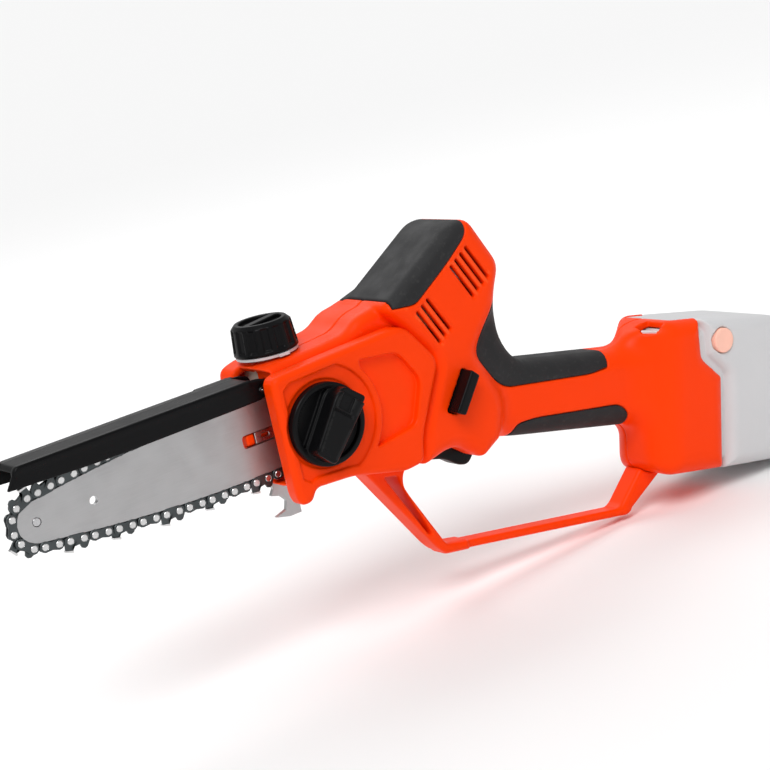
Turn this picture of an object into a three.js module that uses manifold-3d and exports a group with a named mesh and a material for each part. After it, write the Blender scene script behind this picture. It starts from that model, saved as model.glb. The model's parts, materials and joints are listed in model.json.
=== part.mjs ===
// Cordless pruning chainsaw with a 150 mm guide bar, millimetres, +Z up.
// The frame's origin is the centre of the saw's box. Shapes are drawn from the drive sprocket's centre in
// the guide bar's mid-plane and shifted by ORIGIN at the end. The bar points along -X, the sprocket cover
// is on the -Y side, and the pistol handle and the battery pack are behind, at +X.
import * as THREE from 'three';
import { mergeVertices } from 'three/addons/utils/BufferGeometryUtils.js';
import Module from 'manifold-3d';

const wasm = await Module();
wasm.setup();

// ---------------------------------------------------------------- driving dimensions
const GAP = 0.3; // clearance between neighbouring pieces
const ORIGIN = [42.1, 2.1, -23.3]; // centre of the whole saw's box, from the drive sprocket's centre
const CENTRE_Y = 7; // plane that splits the housing, motor, handle and battery
const WALL = 4; // housing wall, with the recess for a rubber cover
const RUBBER = 1.6; // thickness of the over-moulded rubber covers

const BODY_NEAR_Y = -20; // side faces of the body
const FRONT_FAR_Y = 34;
const REAR_FAR_Y = 28;
const HANDLE_HALF = 18; // half widths in Y of the handle and the battery bay
const BAY_HALF = 31;

const SPROCKET_PITCH_R = 16.2; // eight-tooth drive sprocket, 1/4 inch pitch
const NOSE_PITCH_R = 12.5; // six-tooth nose sprocket
const NOSE_X = -190.5; // half of 30 chain pitches
const DRIVE_TEETH = 8;
const NOSE_TEETH = 6;
const GAUGE = 1.1; // thickness of the drive links
const GROOVE = 1.5; // width of the bar's groove
const BAR_HALF = 1.5; // half thickness of the bar
const RAIL_OFFSET = 2.5; // from the rivet line in to the bar's rail
const STUD_X = -40.5; // bar stud and clamping knob

const MOTOR_TILT = THREE.MathUtils.degToRad(36); // motor axis above the bar's line
const HANDLE_TILT = THREE.MathUtils.degToRad(12.4); // handle axis below the bar's line
const CAP_X = -45; // oil cap centre
const CAP_Y = 12;
const COVER_FACE_Y = -22; // outer face of the sprocket cover
const COVER_SEAM_Y = -10; // where the cover meets the housing
const CHAMBER_FLOOR_Y = 3; // inner wall of the chain chamber
const CHAMBER_BACK_Y = 6.1; // gearbox side of that wall

// ---------------------------------------------------------------- materials
const finish = (color, roughness, metalness) =>
  new THREE.MeshStandardMaterial({ color, roughness, metalness });
const ORANGE = finish(0xff4600, 0.42, 0);
const RUBBER_BLACK = finish(0x2e2e2e, 0.75, 0);
const BLACK = finish(0x161616, 0.45, 0);
const PALE = finish(0xd8d8d8, 0.5, 0);
const PINK = finish(0xffcdbe, 0.5, 0);
const STEEL = finish(0xbebebe, 0.32, 1);
const DARK_STEEL = finish(0x4a4e4e, 0.4, 1);
const BRASS = finish(0xc9a24a, 0.3, 1);
const COPPER = finish(0xb87040, 0.35, 1);
const BOARD = finish(0x1f5a34, 0.6, 0);
const TANK = finish(0xe6e2d4, 0.5, 0);
const RED = finish(0xb31b12, 0.5, 0);

// ---------------------------------------------------------------- solids
function solidOf(geometry) {
  const bare = geometry.clone();
  bare.deleteAttribute('normal');
  bare.deleteAttribute('uv');
  const merged = mergeVertices(bare, 1e-4);
  const corners = merged.index.array;
  const kept = [];
  for (let i = 0; i < corners.length; i += 3) {
    const [a, b, c] = [corners[i], corners[i + 1], corners[i + 2]];
    if (a !== b && b !== c && c !== a) kept.push(a, b, c);
  }
  const vertProperties = new Float32Array(merged.attributes.position.array);
  const build = (triVerts) => new wasm.Manifold(
    new wasm.Mesh({ numProp: 3, vertProperties, triVerts: new Uint32Array(triVerts) }));
  const solid = build(kept);
  return solid.volume() >= 0 ? solid : build(kept.reverse());
}

function geometryOf(solid) {
  const mesh = solid.getMesh();
  const geometry = new THREE.BufferGeometry();
  geometry.setAttribute('position', new THREE.BufferAttribute(mesh.vertProperties, 3));
  geometry.setIndex(new THREE.BufferAttribute(mesh.triVerts, 1));
  geometry.computeVertexNormals();
  return geometry;
}

const join = (...solids) => solids.reduce((sum, next) => sum.add(next));
const cut = (solid, ...tools) => tools.reduce((rest, tool) => rest.subtract(tool), solid);

// Outline in X and Z; a corner is [x, z] or [x, z, radius].
function outline(points) {
  const at = (i) => new THREE.Vector2(...points[(i + points.length) % points.length].slice(0, 2));
  const shape = new THREE.Shape();
  points.forEach((point, i) => {
    const corner = at(i);
    const before = at(i - 1).sub(corner);
    const after = at(i + 1).sub(corner);
    const r = Math.min(point[2] ?? 0, 0.45 * before.length(), 0.45 * after.length());
    const start = corner.clone().addScaledVector(before.normalize(), r);
    const end = corner.clone().addScaledVector(after.normalize(), r);
    if (i === 0) shape.moveTo(start.x, start.y);
    else shape.lineTo(start.x, start.y);
    if (r > 0) shape.quadraticCurveTo(corner.x, corner.y, end.x, end.y);
  });
  shape.closePath();
  return shape;
}

const sharp = (points) => (points instanceof THREE.Shape ? points : points.map(([x, z]) => [x, z]));

// Outline extruded along Y from y0 to y1; inset shrinks it, bevel rounds its two long edges.
// A shrunk or bevelled outline keeps sharp corners.
function prism(points, y0, y1, { bevel = 0, inset = 0 } = {}) {
  const corners = bevel > 0 || inset > 0 ? sharp(points) : points;
  const shape = points instanceof THREE.Shape ? points : outline(corners);
  const edge = Math.max(bevel, inset > 0 ? 0.01 : 0);
  const geometry = new THREE.ExtrudeGeometry(shape, {
    depth: y1 - y0 - 2 * edge,
    curveSegments: 3,
    bevelEnabled: edge > 0,
    bevelThickness: edge,
    bevelSize: bevel,
    bevelOffset: -bevel - inset,
    bevelSegments: bevel > 0 ? 2 : 1,
  });
  geometry.rotateX(Math.PI / 2);
  geometry.translate(0, y1 - edge, 0);
  return solidOf(geometry);
}

function block(x0, x1, y0, y1, z0, z1) {
  const geometry = new THREE.BoxGeometry(x1 - x0, y1 - y0, z1 - z0);
  geometry.translate((x0 + x1) / 2, (y0 + y1) / 2, (z0 + z1) / 2);
  return solidOf(geometry);
}

// Cylinder with its axis along Y.
function rod(radius, y0, y1, x = 0, z = 0, sides = 24, tip = radius) {
  const geometry = new THREE.CylinderGeometry(radius, tip, y1 - y0, sides);
  geometry.translate(x, (y0 + y1) / 2, z);
  return solidOf(geometry);
}

// Upright cylinder, axis along Z.
function post(radius, z0, z1, x, y, sides = 24, tip = radius) {
  const geometry = new THREE.CylinderGeometry(tip, radius, z1 - z0, sides);
  geometry.rotateX(Math.PI / 2);
  geometry.translate(x, y, (z0 + z1) / 2);
  return solidOf(geometry);
}

// Profile of [radius, height] turned about an axis, 'x', 'y' or 'z', through a centre.
function turned(profile, axis, sides = 24, centre = [0, 0, 0]) {
  const geometry = new THREE.LatheGeometry(profile.map(([r, h]) => new THREE.Vector2(r, h)), sides);
  if (axis === 'x') geometry.rotateZ(-Math.PI / 2);
  if (axis === 'z') geometry.rotateX(Math.PI / 2);
  geometry.translate(...centre);
  return solidOf(geometry);
}
const ring = (inner, outer, h0, h1, axis, sides = 24) =>
  turned([[inner, h0], [outer, h0], [outer, h1], [inner, h1], [inner, h0]], axis, sides);

function tube(points, radius, steps = 16, sides = 6) {
  const path = new THREE.CatmullRomCurve3(points.map((p) => new THREE.Vector3(...p)));
  const section = new THREE.Shape();
  section.absarc(0, 0, radius, 0, 2 * Math.PI);
  return solidOf(new THREE.ExtrudeGeometry(section, {
    steps, bevelEnabled: false, extrudePath: path, curveSegments: sides,
  }));
}

function coil(radius, wire, length, turns) {
  const points = [];
  const steps = turns * 8;
  for (let i = 0; i <= steps; i += 1) {
    const angle = (turns * 2 * Math.PI * i) / steps;
    points.push([radius * Math.cos(angle), radius * Math.sin(angle), (length * i) / steps]);
  }
  return tube(points, wire, steps, 3);
}

function toothed(teeth, root, tip, share = 0.5) {
  const shape = new THREE.Shape();
  const pitch = (2 * Math.PI) / teeth;
  for (let i = 0; i < teeth; i += 1) {
    const tooth = [[root, -0.5], [root, -share / 2], [tip, -share / 4], [tip, share / 4], [root, share / 2]];
    tooth.forEach(([r, turn], k) => {
      const angle = (i + turn) * pitch;
      const method = i + k === 0 ? 'moveTo' : 'lineTo';
      shape[method](r * Math.cos(angle), r * Math.sin(angle));
    });
  }
  shape.closePath();
  return shape;
}

// ---------------------------------------------------------------- scene graph
const saw = new THREE.Group();
const motorLine = new THREE.Group(); // local +X runs up the motor shaft
motorLine.rotation.y = -MOTOR_TILT;
motorLine.position.y = CENTRE_Y;
const handleLine = new THREE.Group(); // local +X runs down the handle to the battery
handleLine.rotation.y = HANDLE_TILT;
saw.add(motorLine, handleLine);

function place(name, solid, material, group = saw, position = [0, 0, 0]) {
  const mesh = new THREE.Mesh(geometryOf(solid), material);
  mesh.name = name;
  mesh.position.set(...position);
  group.add(mesh);
  return mesh;
}

// ---------------------------------------------------------------- housing outlines
// Turns [along, above] the handle axis into [x, z]; a third value is the corner radius.
const behind = (points) => points.map(([a, b, ...radius]) => [
  a * Math.cos(HANDLE_TILT) + b * Math.sin(HANDLE_TILT),
  b * Math.cos(HANDLE_TILT) - a * Math.sin(HANDLE_TILT),
  ...radius,
]);

const FRONT = [
  [-65, -27], [-65, 31], [-55, 34], [-27, 35], [-10, 36.5], [-1, 42.5],
  [9, 44], [30, 50], [46, 20], [42, -36], [29, -38.5], [12, -42.5], [-25, -34], [-53, -28.5],
];
const REAR = [
  [12, -42.5], [14.5, -24], [33, 10], [16, 34], [8, 43], [50, 68.5], [60, 74.5], [71.5, 74],
  [85.5, 46], [76, 26], [58, 6], [70, -24], [64, -43], [51, -50], [37, -39], [29, -38.5],
];
const NECK = [
  [40, 20], [62, 38], [85.5, 33], [84, 6], [92, -10],
  ...behind([[164, 9.8], [185, 10], [185, -36], [172, -33], [88, -31]]),
  [60, -43], [46, -30],
];
const BAY_FRONT = 160; // along the handle axis
const BAY_FACE = 176; // front face of the bay, flat across the middle
const BAY_FACE_NEAR_Y = -14;
const BAY_FACE_FAR_Y = 13;
const BAY_REAR = 226.3;
const BAY_TOP = 24; // above the handle axis
const BAY_BOTTOM = -62.5;
const BUTTON_NOTCH = 209.5;
const BAY = behind([
  [BAY_FRONT, 6], [170, 19], [184, BAY_TOP], [BUTTON_NOTCH, BAY_TOP], [BUTTON_NOTCH + 2, 3],
  [BAY_REAR, -8.5], [BAY_REAR, BAY_BOTTOM], [186, BAY_BOTTOM], [BAY_FACE + 1, -56], [BAY_FACE, -30],
]);
const COVER = [
  [-65, -30, 2], [-65, 30.6, 4], [16, 34, 6], [33, 10, 4], [14.5, -24, 4], [11.5, -38, 3],
  [0, -39, 2], [-31, -31, 2], [-53, -29.5, 2], [-57, -35.5, 2], [-63, -35.5, 2],
];
const MOTOR_CAP = [
  [13.5, 41.8], [19, 41.5, 3], [27, 40.6, 6], [51, 55.5, 6], [65, 66, 4], [68.5, 74, 2],
  [72, 90], [13.5, 90],
];
const GRIP_TOP = [
  [100, 35], [78, 29.5, 3], [62.5, 12.5, 4], [59, 3, 5], [71, -15, 4], [78, -20.5, 4],
  [134, -29, 3], [148, -27, 6], [152, -10],
];
const GRIP_BOTTOM = [[70, -60], [80, -42.5, 2], [92, -43, 3], [150, -54.5, 6], [156, -62, 6], [152, -85]];

// Wedge beyond a slanted front corner of the battery bay; side is -1 for the near side, 1 for the far.
function bayCorner(side, faceEnd, inset, tilt) {
  const geometry = new THREE.BoxGeometry(60, 60, 160);
  geometry.translate(0, (30 - inset) * side, 0);
  geometry.rotateZ((Math.PI / 4) * side);
  geometry.translate(BAY_FACE, faceEnd, (BAY_TOP + BAY_BOTTOM) / 2);
  geometry.rotateY(tilt);
  return solidOf(geometry);
}
const bayCorners = (inset, tilt = HANDLE_TILT) =>
  join(bayCorner(-1, BAY_FACE_NEAR_Y, inset, tilt), bayCorner(1, BAY_FACE_FAR_Y, inset, tilt));

// The housing's blocks joined, each shrunk by inset.
function hull(inset) {
  const slab = (points, low, high, bevel) => prism(points, low + inset, high - inset, { bevel, inset });
  const wide = (points, half, bevel) => slab(points, CENTRE_Y - half, CENTRE_Y + half, bevel);
  return join(
    slab(FRONT, COVER_SEAM_Y, FRONT_FAR_Y, 6), slab(REAR, BODY_NEAR_Y, REAR_FAR_Y, 6),
    wide(NECK, HANDLE_HALF, 8),
    cut(wide(BAY, BAY_HALF, 7), bayCorners(inset)),
  );
}

// ---------------------------------------------------------------- bar and chain
// Closed loop at a distance outside (+) or inside (-) the chain's rivet line.
function chainLoop(offset, edgeSteps = 12, arcSteps = 8) {
  const rise = THREE.MathUtils.degToRad(8);
  const fall = THREE.MathUtils.degToRad(7);
  const reach = 70;
  const nose = new THREE.Vector2(NOSE_X - NOSE_PITCH_R * Math.sin(rise), NOSE_PITCH_R * Math.cos(rise));
  const drive = new THREE.Vector2(SPROCKET_PITCH_R * Math.sin(fall), SPROCKET_PITCH_R * Math.cos(fall));
  const edge = new THREE.CubicBezierCurve(
    nose,
    new THREE.Vector2(nose.x + reach * Math.cos(rise), nose.y + reach * Math.sin(rise)),
    new THREE.Vector2(drive.x - reach * Math.cos(fall), drive.y + reach * Math.sin(fall)),
    drive,
  );
  const upper = [];
  for (let i = 0; i <= edgeSteps; i += 1) {
    const point = edge.getPoint(i / edgeSteps);
    const tangent = edge.getTangent(i / edgeSteps);
    upper.push([point.x - tangent.y * offset, point.y + tangent.x * offset]);
  }
  const arc = (x, radius, from, to) => Array.from({ length: arcSteps - 1 }, (_, i) => {
    const angle = from + ((to - from) * (i + 1)) / arcSteps;
    return [x + radius * Math.cos(angle), radius * Math.sin(angle)];
  });
  const quarter = Math.PI / 2;
  return [
    ...upper,
    ...arc(0, SPROCKET_PITCH_R + offset, quarter - fall, fall - quarter),
    ...upper.map(([x, z]) => [x, -z]).reverse(),
    ...arc(NOSE_X, NOSE_PITCH_R + offset, -quarter - rise, rise - 3 * quarter),
  ];
}
const loopPrism = (offset, half) => prism(chainLoop(offset), -half, half);

const BAR_TAIL_X = -22;
const ADJUSTER = [-54, 11]; // adjuster pin, x and z
const ADJUSTER_Y = 6; // line of the adjuster screw

function guideBar() {
  const grooveDepth = 4.2;
  const blank = cut(loopPrism(-RAIL_OFFSET, BAR_HALF), block(BAR_TAIL_X, 40, -5, 5, -40, 40));
  const groove = cut(loopPrism(1, GROOVE / 2), loopPrism(-RAIL_OFFSET - grooveDepth, GROOVE / 2));
  const studSlot = prism([[-77.2, -3.4, 2], [-77.2, 3.4, 2], [-29, 3.4, 2], [-29, -3.4, 2]], -5, 5);
  const nosePocket = rod(12.2, -GROOVE / 2, GROOVE / 2, NOSE_X, 0, 28);
  return cut(
    blank, groove, studSlot, nosePocket,
    rod(2.2, -5, 5, -160.5, 0, 16), // grease hole
    rod(2.3, -5, 5, ...ADJUSTER, 14),
    rod(2.3, -5, 5, NOSE_X, 0, 16), // nose rivet
  );
}

function sawChain() {
  const half = 1.7;
  const band = cut(loopPrism(2.7, half), loopPrism(GAP - RAIL_OFFSET, half));
  const driveLinks = cut(loopPrism(0, GAUGE / 2), loopPrism(-RAIL_OFFSET - 3.4, GAUGE / 2));
  return join(band, driveLinks.intersect(block(-176, -26, -3, 3, -40, 40)));
}

function barAndChain() {
  place('guide_bar', guideBar(), STEEL);
  place('saw_chain', sawChain(), DARK_STEEL);
  place('nose_rivet', rod(2.1, -BAR_HALF, BAR_HALF, NOSE_X, 0, 16), STEEL);
  const star = prism(toothed(NOSE_TEETH, 7.5, 9.9, 0.6), -0.5, 0.5);
  place('nose_sprocket', cut(star, rod(2.4, -2, 2, 0, 0, 16)), DARK_STEEL, saw, [NOSE_X, 0, 0]);
  const [pinX, pinZ] = ADJUSTER;
  const slider = cut(
    join(block(pinX - 3.5, pinX + 3.5, 3.4, 8.4, pinZ - 3, pinZ + 3), rod(2, -1.3, 4, pinX, pinZ, 14)),
    turned([[0, pinX - 9], [1.9, pinX - 9], [1.9, pinX + 9], [0, pinX + 9]], 'x', 12, [0, ADJUSTER_Y, pinZ]),
  );
  place('tension_slider', slider, STEEL);
}

// ---------------------------------------------------------------- housing
// Room for the bar and the chain, open to the front and to the cover.
function chainChamber() {
  const lane = prism([[-90, -26], [-90, 26.5], [-20, 26.5], [2, 22.5], [2, -22.5], [-20, -26]],
    COVER_SEAM_Y - 20, CHAMBER_FLOOR_Y);
  return join(lane, rod(22.6, COVER_SEAM_Y - 20, CHAMBER_FLOOR_Y, 0, 0, 32));
}

const TRIGGER_SLOT = [[18, -30], [18, -52], [60, -62], [60, -30]];
const TRIGGER_PIVOT = [27, -35.5];
const GUARD_PIVOT = [-63, 24.5];
const LOCK_SLOT = [[46.5, 1.5, 1], [51.5, -3.5, 1], [37.5, -21.5, 1], [31.5, -18, 1]];
const SPIKE_SCREWS = [[-59, -24, FRONT_FAR_Y], [-49, -24, FRONT_FAR_Y]];
// Screws that go in from the far side: x, z and the face their heads are sunk in.
const HOUSING_SCREWS = [
  [-16, 29.6, FRONT_FAR_Y], [-8, -33, FRONT_FAR_Y], [62.5, -31, REAR_FAR_Y], [78, 42, REAR_FAR_Y],
];
const HEAD_HEIGHT = 2;

function ventSlots() {
  const lean = THREE.MathUtils.degToRad(118);
  const [length, width, stepX, stepZ] = [22.5, 1.8, -3.75, -2.3];
  const slot = (x, z) => {
    const [ux, uz] = [Math.cos(lean), Math.sin(lean)];
    const [wx, wz] = [(uz * width) / 2, (-ux * width) / 2];
    const [endX, endZ] = [x + ux * length, z + uz * length];
    const corners = [[x + wx, z + wz], [endX + wx, endZ + wz], [endX - wx, endZ - wz], [x - wx, z - wz]];
    return prism(corners, -40, 60);
  };
  const row = (x, z, count) => Array.from({ length: count }, (_, i) => slot(x + stepX * i, z + stepZ * i));
  return [...row(74.5, 41, 4), ...row(44.9, 21.9, 3)];
}

// Straight bore along the motor shaft's line, between two distances from the origin.
function motorBore(radius, from, to) {
  const geometry = new THREE.CylinderGeometry(radius, radius, to - from, 20);
  geometry.rotateZ(-Math.PI / 2);
  geometry.translate((from + to) / 2, 0, 0);
  geometry.rotateY(-MOTOR_TILT);
  geometry.translate(0, CENTRE_Y, 0);
  return solidOf(geometry);
}

// Inside of the battery bay, a straight box along the handle axis.
const PACK_HALF = 26.8;
function bayRoom() {
  const box = behind([[183, -58.9, 3], [183, 20.1, 3], [260, 20.1], [260, -58.9]]);
  const topSlot = behind([[192, 10], [192, 40], [260, 40], [260, 10]]);
  const window = behind([[178, 0], [178, 40], [187, 40], [187, 0]]);
  const room = join(
    prism(box, CENTRE_Y - PACK_HALF - GAP, CENTRE_Y + PACK_HALF + GAP),
    prism(topSlot, CENTRE_Y - 21, CENTRE_Y + 21),
  );
  return join(cut(room, bayCorners(WALL)), prism(window, CENTRE_Y - 7, CENTRE_Y + 7));
}

// The housing before it is split at the centre plane.
function housingBlank() {
  const coat = hull(RUBBER + GAP);
  const recess = (zone) => cut(prism(zone, -60, 80, { inset: -GAP }), coat);
  const chamberBlock = prism(COVER, -40, CHAMBER_BACK_Y, { inset: -WALL / 2 });
  const guardPocket = prism(
    [[-80, 15], [-80, 60], [-63, 60], [-61, 33], [-56.6, 30], [-56.6, 18], [-59, 15]], -8.8, 17.2);
  return cut(
    hull(0), cut(hull(WALL), chamberBlock),
    recess(MOTOR_CAP), recess(GRIP_TOP), recess(GRIP_BOTTOM),
    prism(COVER, -60, COVER_SEAM_Y, { inset: -GAP / 2 }),
    chainChamber(), bayRoom(), guardPocket, rod(1.8, 10, 22.3, ...GUARD_PIVOT, 14),
    motorBore(6, 24.8, 42), ...ventSlots(),
    prism(TRIGGER_SLOT, CENTRE_Y - 7.5, CENTRE_Y + 7.5),
    rod(1.8, CENTRE_Y - 15.3, CENTRE_Y + 15.3, ...TRIGGER_PIVOT, 14),
    prism(LOCK_SLOT, -30, 50),
    post(9, 26, 60, CAP_X, CAP_Y), // filler opening
    block(-64, -44, CENTRE_Y - 1.6, CENTRE_Y + 1.6, -60, -19), // slot for the bumper spike
    block(-61, -45, 1, 8.7, 7, 15), // adjuster slot
    block(-80, -44, 4.1, 7.9, 9.1, 12.9), // adjuster screw
    rod(3.2, 0, 20, STUD_X, 0, 20),
    ...SPIKE_SCREWS.map(([x, z]) => rod(1.9, 0, 60, x, z, 12)),
    ...HOUSING_SCREWS.map(([x, z]) => rod(1.9, CENTRE_Y - 12, 60, x, z, 12)),
  );
}

function housing() {
  const blank = housingBlank();
  const splitLeft = CENTRE_Y - GAP / 2;
  const splitRight = CENTRE_Y + GAP / 2;
  const pad = prism(
    [[-75, -5, 2], [-75, 5, 2], [-63, 9, 2], [-24, 9, 2], [-24, -9, 2], [-63, -9, 2]],
    BAR_HALF + 0.1, CHAMBER_FLOOR_Y + 0.5,
  );
  const slotRib = block(-74.6, -70, 0.3 - BAR_HALF, BAR_HALF + 3, -2.6, 2.6); // guides the bar in its slot
  const left = cut(
    join(cut(blank, block(-100, 300, splitLeft, 80, -140, 120)), pad, slotRib,
      rod(12.5, CHAMBER_FLOOR_Y, splitLeft, 0, 0)),
    rod(9.3, 0, CENTRE_Y, 0, 0), rod(3.2, 0, 20, STUD_X, 0, 20), block(-61, -45, 1, 8.7, 7, 15),
  );
  place('housing_left', left, ORANGE);
  const right = cut(
    join(cut(blank, block(-100, 300, -80, splitRight, -140, 120)), rod(12.5, 25, 30.5, 0, 0)),
    rod(9.3, 24, 29.8, 0, 0),
    ...[...SPIKE_SCREWS, ...HOUSING_SCREWS].map(([x, z, face]) =>
      rod(3.3, face - HEAD_HEIGHT - GAP - 0.1, 60, x, z, 16)),
  );
  place('housing_right', right, ORANGE);
  const cover = (zone) => cut(prism(zone, -60, 80).intersect(hull(0)), hull(RUBBER));
  place('motor_cap', cover(MOTOR_CAP), RUBBER_BLACK);
  place('grip_top', cover(GRIP_TOP), RUBBER_BLACK);
  place('grip_bottom', cover(GRIP_BOTTOM), RUBBER_BLACK);
}

// Loop in front of the fingers: a wide front leg, a flat bar and a rear leg up to the battery bay.
function handGuard() {
  const leg = [
    [-16, -30], [-11, -41], [20.5, -91.5, 6], [25, -96.4, 3], [40, -98.9], [40, -95], [27, -92, 2],
    [11.4, -59.8, 6], [8.4, -52, 4], [10, -46, 3], [20, -38],
  ];
  const opening = [[-2.5, -44, 1], [6, -46, 1], [6.5, -50, 2], [19, -83, 1], [17, -83, 1]];
  const bar = [[26, -96.6], [149, -119.8, 3], [153, -117.8, 3], [149, -115.3], [27, -92.6]];
  const rearLeg = [[144.5, -115], [149.5, -119.6, 3], [180, -103], [172, -92], [163.5, -98]];
  const strap = (points, half) => prism(points, CENTRE_Y - half, CENTRE_Y + half);
  const loop = join(strap(leg, 8.5), strap(bar, 6), strap(rearLeg, 7));
  return cut(loop, prism(opening, -20, 40), hull(-GAP));
}

// ---------------------------------------------------------------- sprocket cover and its knob
const KNOB_R = 21;
function sprocketCover() {
  const recessY = COVER_FACE_Y + 2.7;
  const pocket = [[-9, 23, 3], [9, 21, 3], [19, 4, 3], [11, -17, 3], [-9, -21, 3], [-5, 0, 8]];
  const outside = prism(COVER, COVER_FACE_Y, COVER_SEAM_Y - GAP / 2, { bevel: 1.6 });
  const inside = prism(COVER, recessY + 2.3, 0, { inset: 2.5 });
  const boss = rod(13, recessY + 2, -BAR_HALF - GAP, STUD_X, 0, 28);
  return cut(
    join(cut(outside, inside), boss),
    rod(KNOB_R + 1, -40, recessY, STUD_X, 0, 36),
    prism(pocket, -40, COVER_FACE_Y + 2),
    rod(7, -40, 0, STUD_X, 0),
  );
}

function coverAndKnob() {
  place('sprocket_cover', sprocketCover(), ORANGE);
  const disc = rod(KNOB_R, -25.2, -19.8, 0, 0, 32);
  const sleeve = rod(6.6, -20, -12.5, 0, 0, 20);
  const wing = prism([[-18, -5.5, 3], [-18, 5.5, 3], [15, 7, 3], [19, 3, 3], [19, -7, 3]], -35, -25);
  const atStud = [STUD_X, 0, 0];
  const knob = place('cover_knob', cut(join(disc, sleeve, wing), rod(5.2, -19, 0)), BLACK, saw, atStud);
  knob.rotation.y = -THREE.MathUtils.degToRad(48);
  place('knob_nut', ring(3.3, 4.9, -18.6, -13, 'y', 20), STEEL, saw, atStud);
  place('bar_stud', join(rod(3, -17.5, 6.5), rod(6, 6.2, 9, 0, 0, 6)), STEEL, saw, atStud);
}

// ---------------------------------------------------------------- chain guard
const GUARD_NEAR_Y = -8;
const GUARD_FAR_Y = 12.5;
function chainGuard() {
  const [px, pz] = GUARD_PIVOT;
  const side = [
    [-202.5, 19.5], [-196, 29.5], [-69, 30], [px - 1, pz + 5.2, 2], [px + 4, pz + 3.4, 3],
    [px + 4.6, pz - 3, 3], [px - 1, pz - 5.4, 3], [-75, 18.7], [-150, 17.7],
  ];
  const top = [[-197.9, 26.6], [-196, 29.5], [-69, 30], [-69, 27.1], [-150, 26.6]];
  const plate = 2.8;
  const root = [[-91, 27.1], [-88, 29.9], [-69, 30], [-69, 27.1]];
  return cut(
    join(
      prism(side, GUARD_NEAR_Y, GUARD_NEAR_Y + plate), prism(side, GUARD_FAR_Y - plate, GUARD_FAR_Y),
      prism(top, GUARD_NEAR_Y + 0.5, GUARD_FAR_Y - 0.5), prism(root, 10, 16),
    ),
    rod(1.8, -20, 20, px, pz, 14),
  );
}

function guardSet() {
  const [px, pz] = GUARD_PIVOT;
  place('chain_guard', chainGuard(), BLACK);
  place('guard_pin', rod(1.5, 4, 22, px, pz, 12), STEEL);
}

// ---------------------------------------------------------------- oil system
function oilSystem() {
  const body = [[-61, -16, 2], [-61, 12, 2], [-53.8, 14, 2], [-53.8, 29, 2], [-33, 29, 2], [-33, -16, 2]];
  const low = 9;
  const high = 24;
  const neck = (radius, from) => post(radius, from, 37.6, CAP_X, CAP_Y, 24);
  const shell = join(prism(body, low, high), neck(8.6, 27));
  const hollow = join(prism(body, low + 2, high - 2, { inset: 2 }), neck(6.6, 24));
  place('oil_tank', cut(shell, hollow), TANK);
  const gasket = join(
    turned([[9.2, 35.5], [16, 35.5], [16, 37], [9.2, 37], [9.2, 35.5]], 'z', 28),
    block(-3, 3, -17.5, -14, 35.5, 37),
  );
  place('oil_cap_gasket', gasket, PALE, saw, [CAP_X, CAP_Y, 0]);
  const cap = turned([
    [9, 37.4], [16.7, 37.4], [16.7, 39], [16, 49.5], [14.6, 53], [0, 53], [0, 50], [9, 50], [9, 37.4],
  ], 'z', 32);
  place('oil_cap', cap, BLACK, saw, [CAP_X, CAP_Y, 0]);
  place('oil_pump', rod(6.5, 18.5, 26, -19, -22), PALE);
  const hosePath = [[-36, 20, -16.4], [-35.5, 21, -20], [-31.5, 22, -23.5], [-27.6, 22, -24]];
  place('oil_hose', tube(hosePath, 1.5, 10), BLACK);
}

// ---------------------------------------------------------------- chain drive
const RING_TEETH = 29;
const PINION_TEETH = 9;
const RING_PHASE = 0.3; // share of a tooth pitch that the ring gear is turned by at rest
function chainDrive() {
  const star = prism(toothed(DRIVE_TEETH, 10.2, 13.4, 0.7), -2.6, 2.6);
  place('drive_sprocket', cut(star, rod(4.3, -5, 5)), STEEL);
  place('sprocket_shaft', rod(4, -6.5, 29.4), STEEL);
  const clip = ring(4.3, 6.6, -4.8, -3.8, 'y');
  place('sprocket_circlip', cut(clip, block(-1.5, 1.5, -6, -2, -8, 0)), STEEL);
  place('sprocket_washer', ring(4.3, 8.2, -3.6, -2.8, 'y'), STEEL);
  place('shaft_bearing_front', ring(4.3, 9, 3.3, 6.6, 'y'), STEEL);
  place('shaft_bearing_rear', ring(4.3, 9, 25.6, 29.4, 'y'), STEEL);
  const teeth = [];
  for (let i = 0; i < RING_TEETH; i += 1) {
    const geometry = new THREE.BoxGeometry(5, 1, 2.4);
    geometry.translate(26.4, 12.1, 0);
    geometry.rotateY((2 * Math.PI * (i + RING_PHASE)) / RING_TEETH);
    teeth.push(solidOf(geometry));
  }
  const webProfile = [[4.3, 12.5], [29, 12.5], [29, 15.5], [9, 17], [9, 22], [4.3, 22], [4.3, 12.5]];
  const web = turned(webProfile, 'y', 40);
  place('ring_gear', join(web, ...teeth), STEEL);
  place('pump_worm', ring(4.3, 6.4, 22.4, 25.2, 'y', 16), BRASS);
}

const FAN_BLADES = 9;
const MOTOR_R = 16.5;
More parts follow.
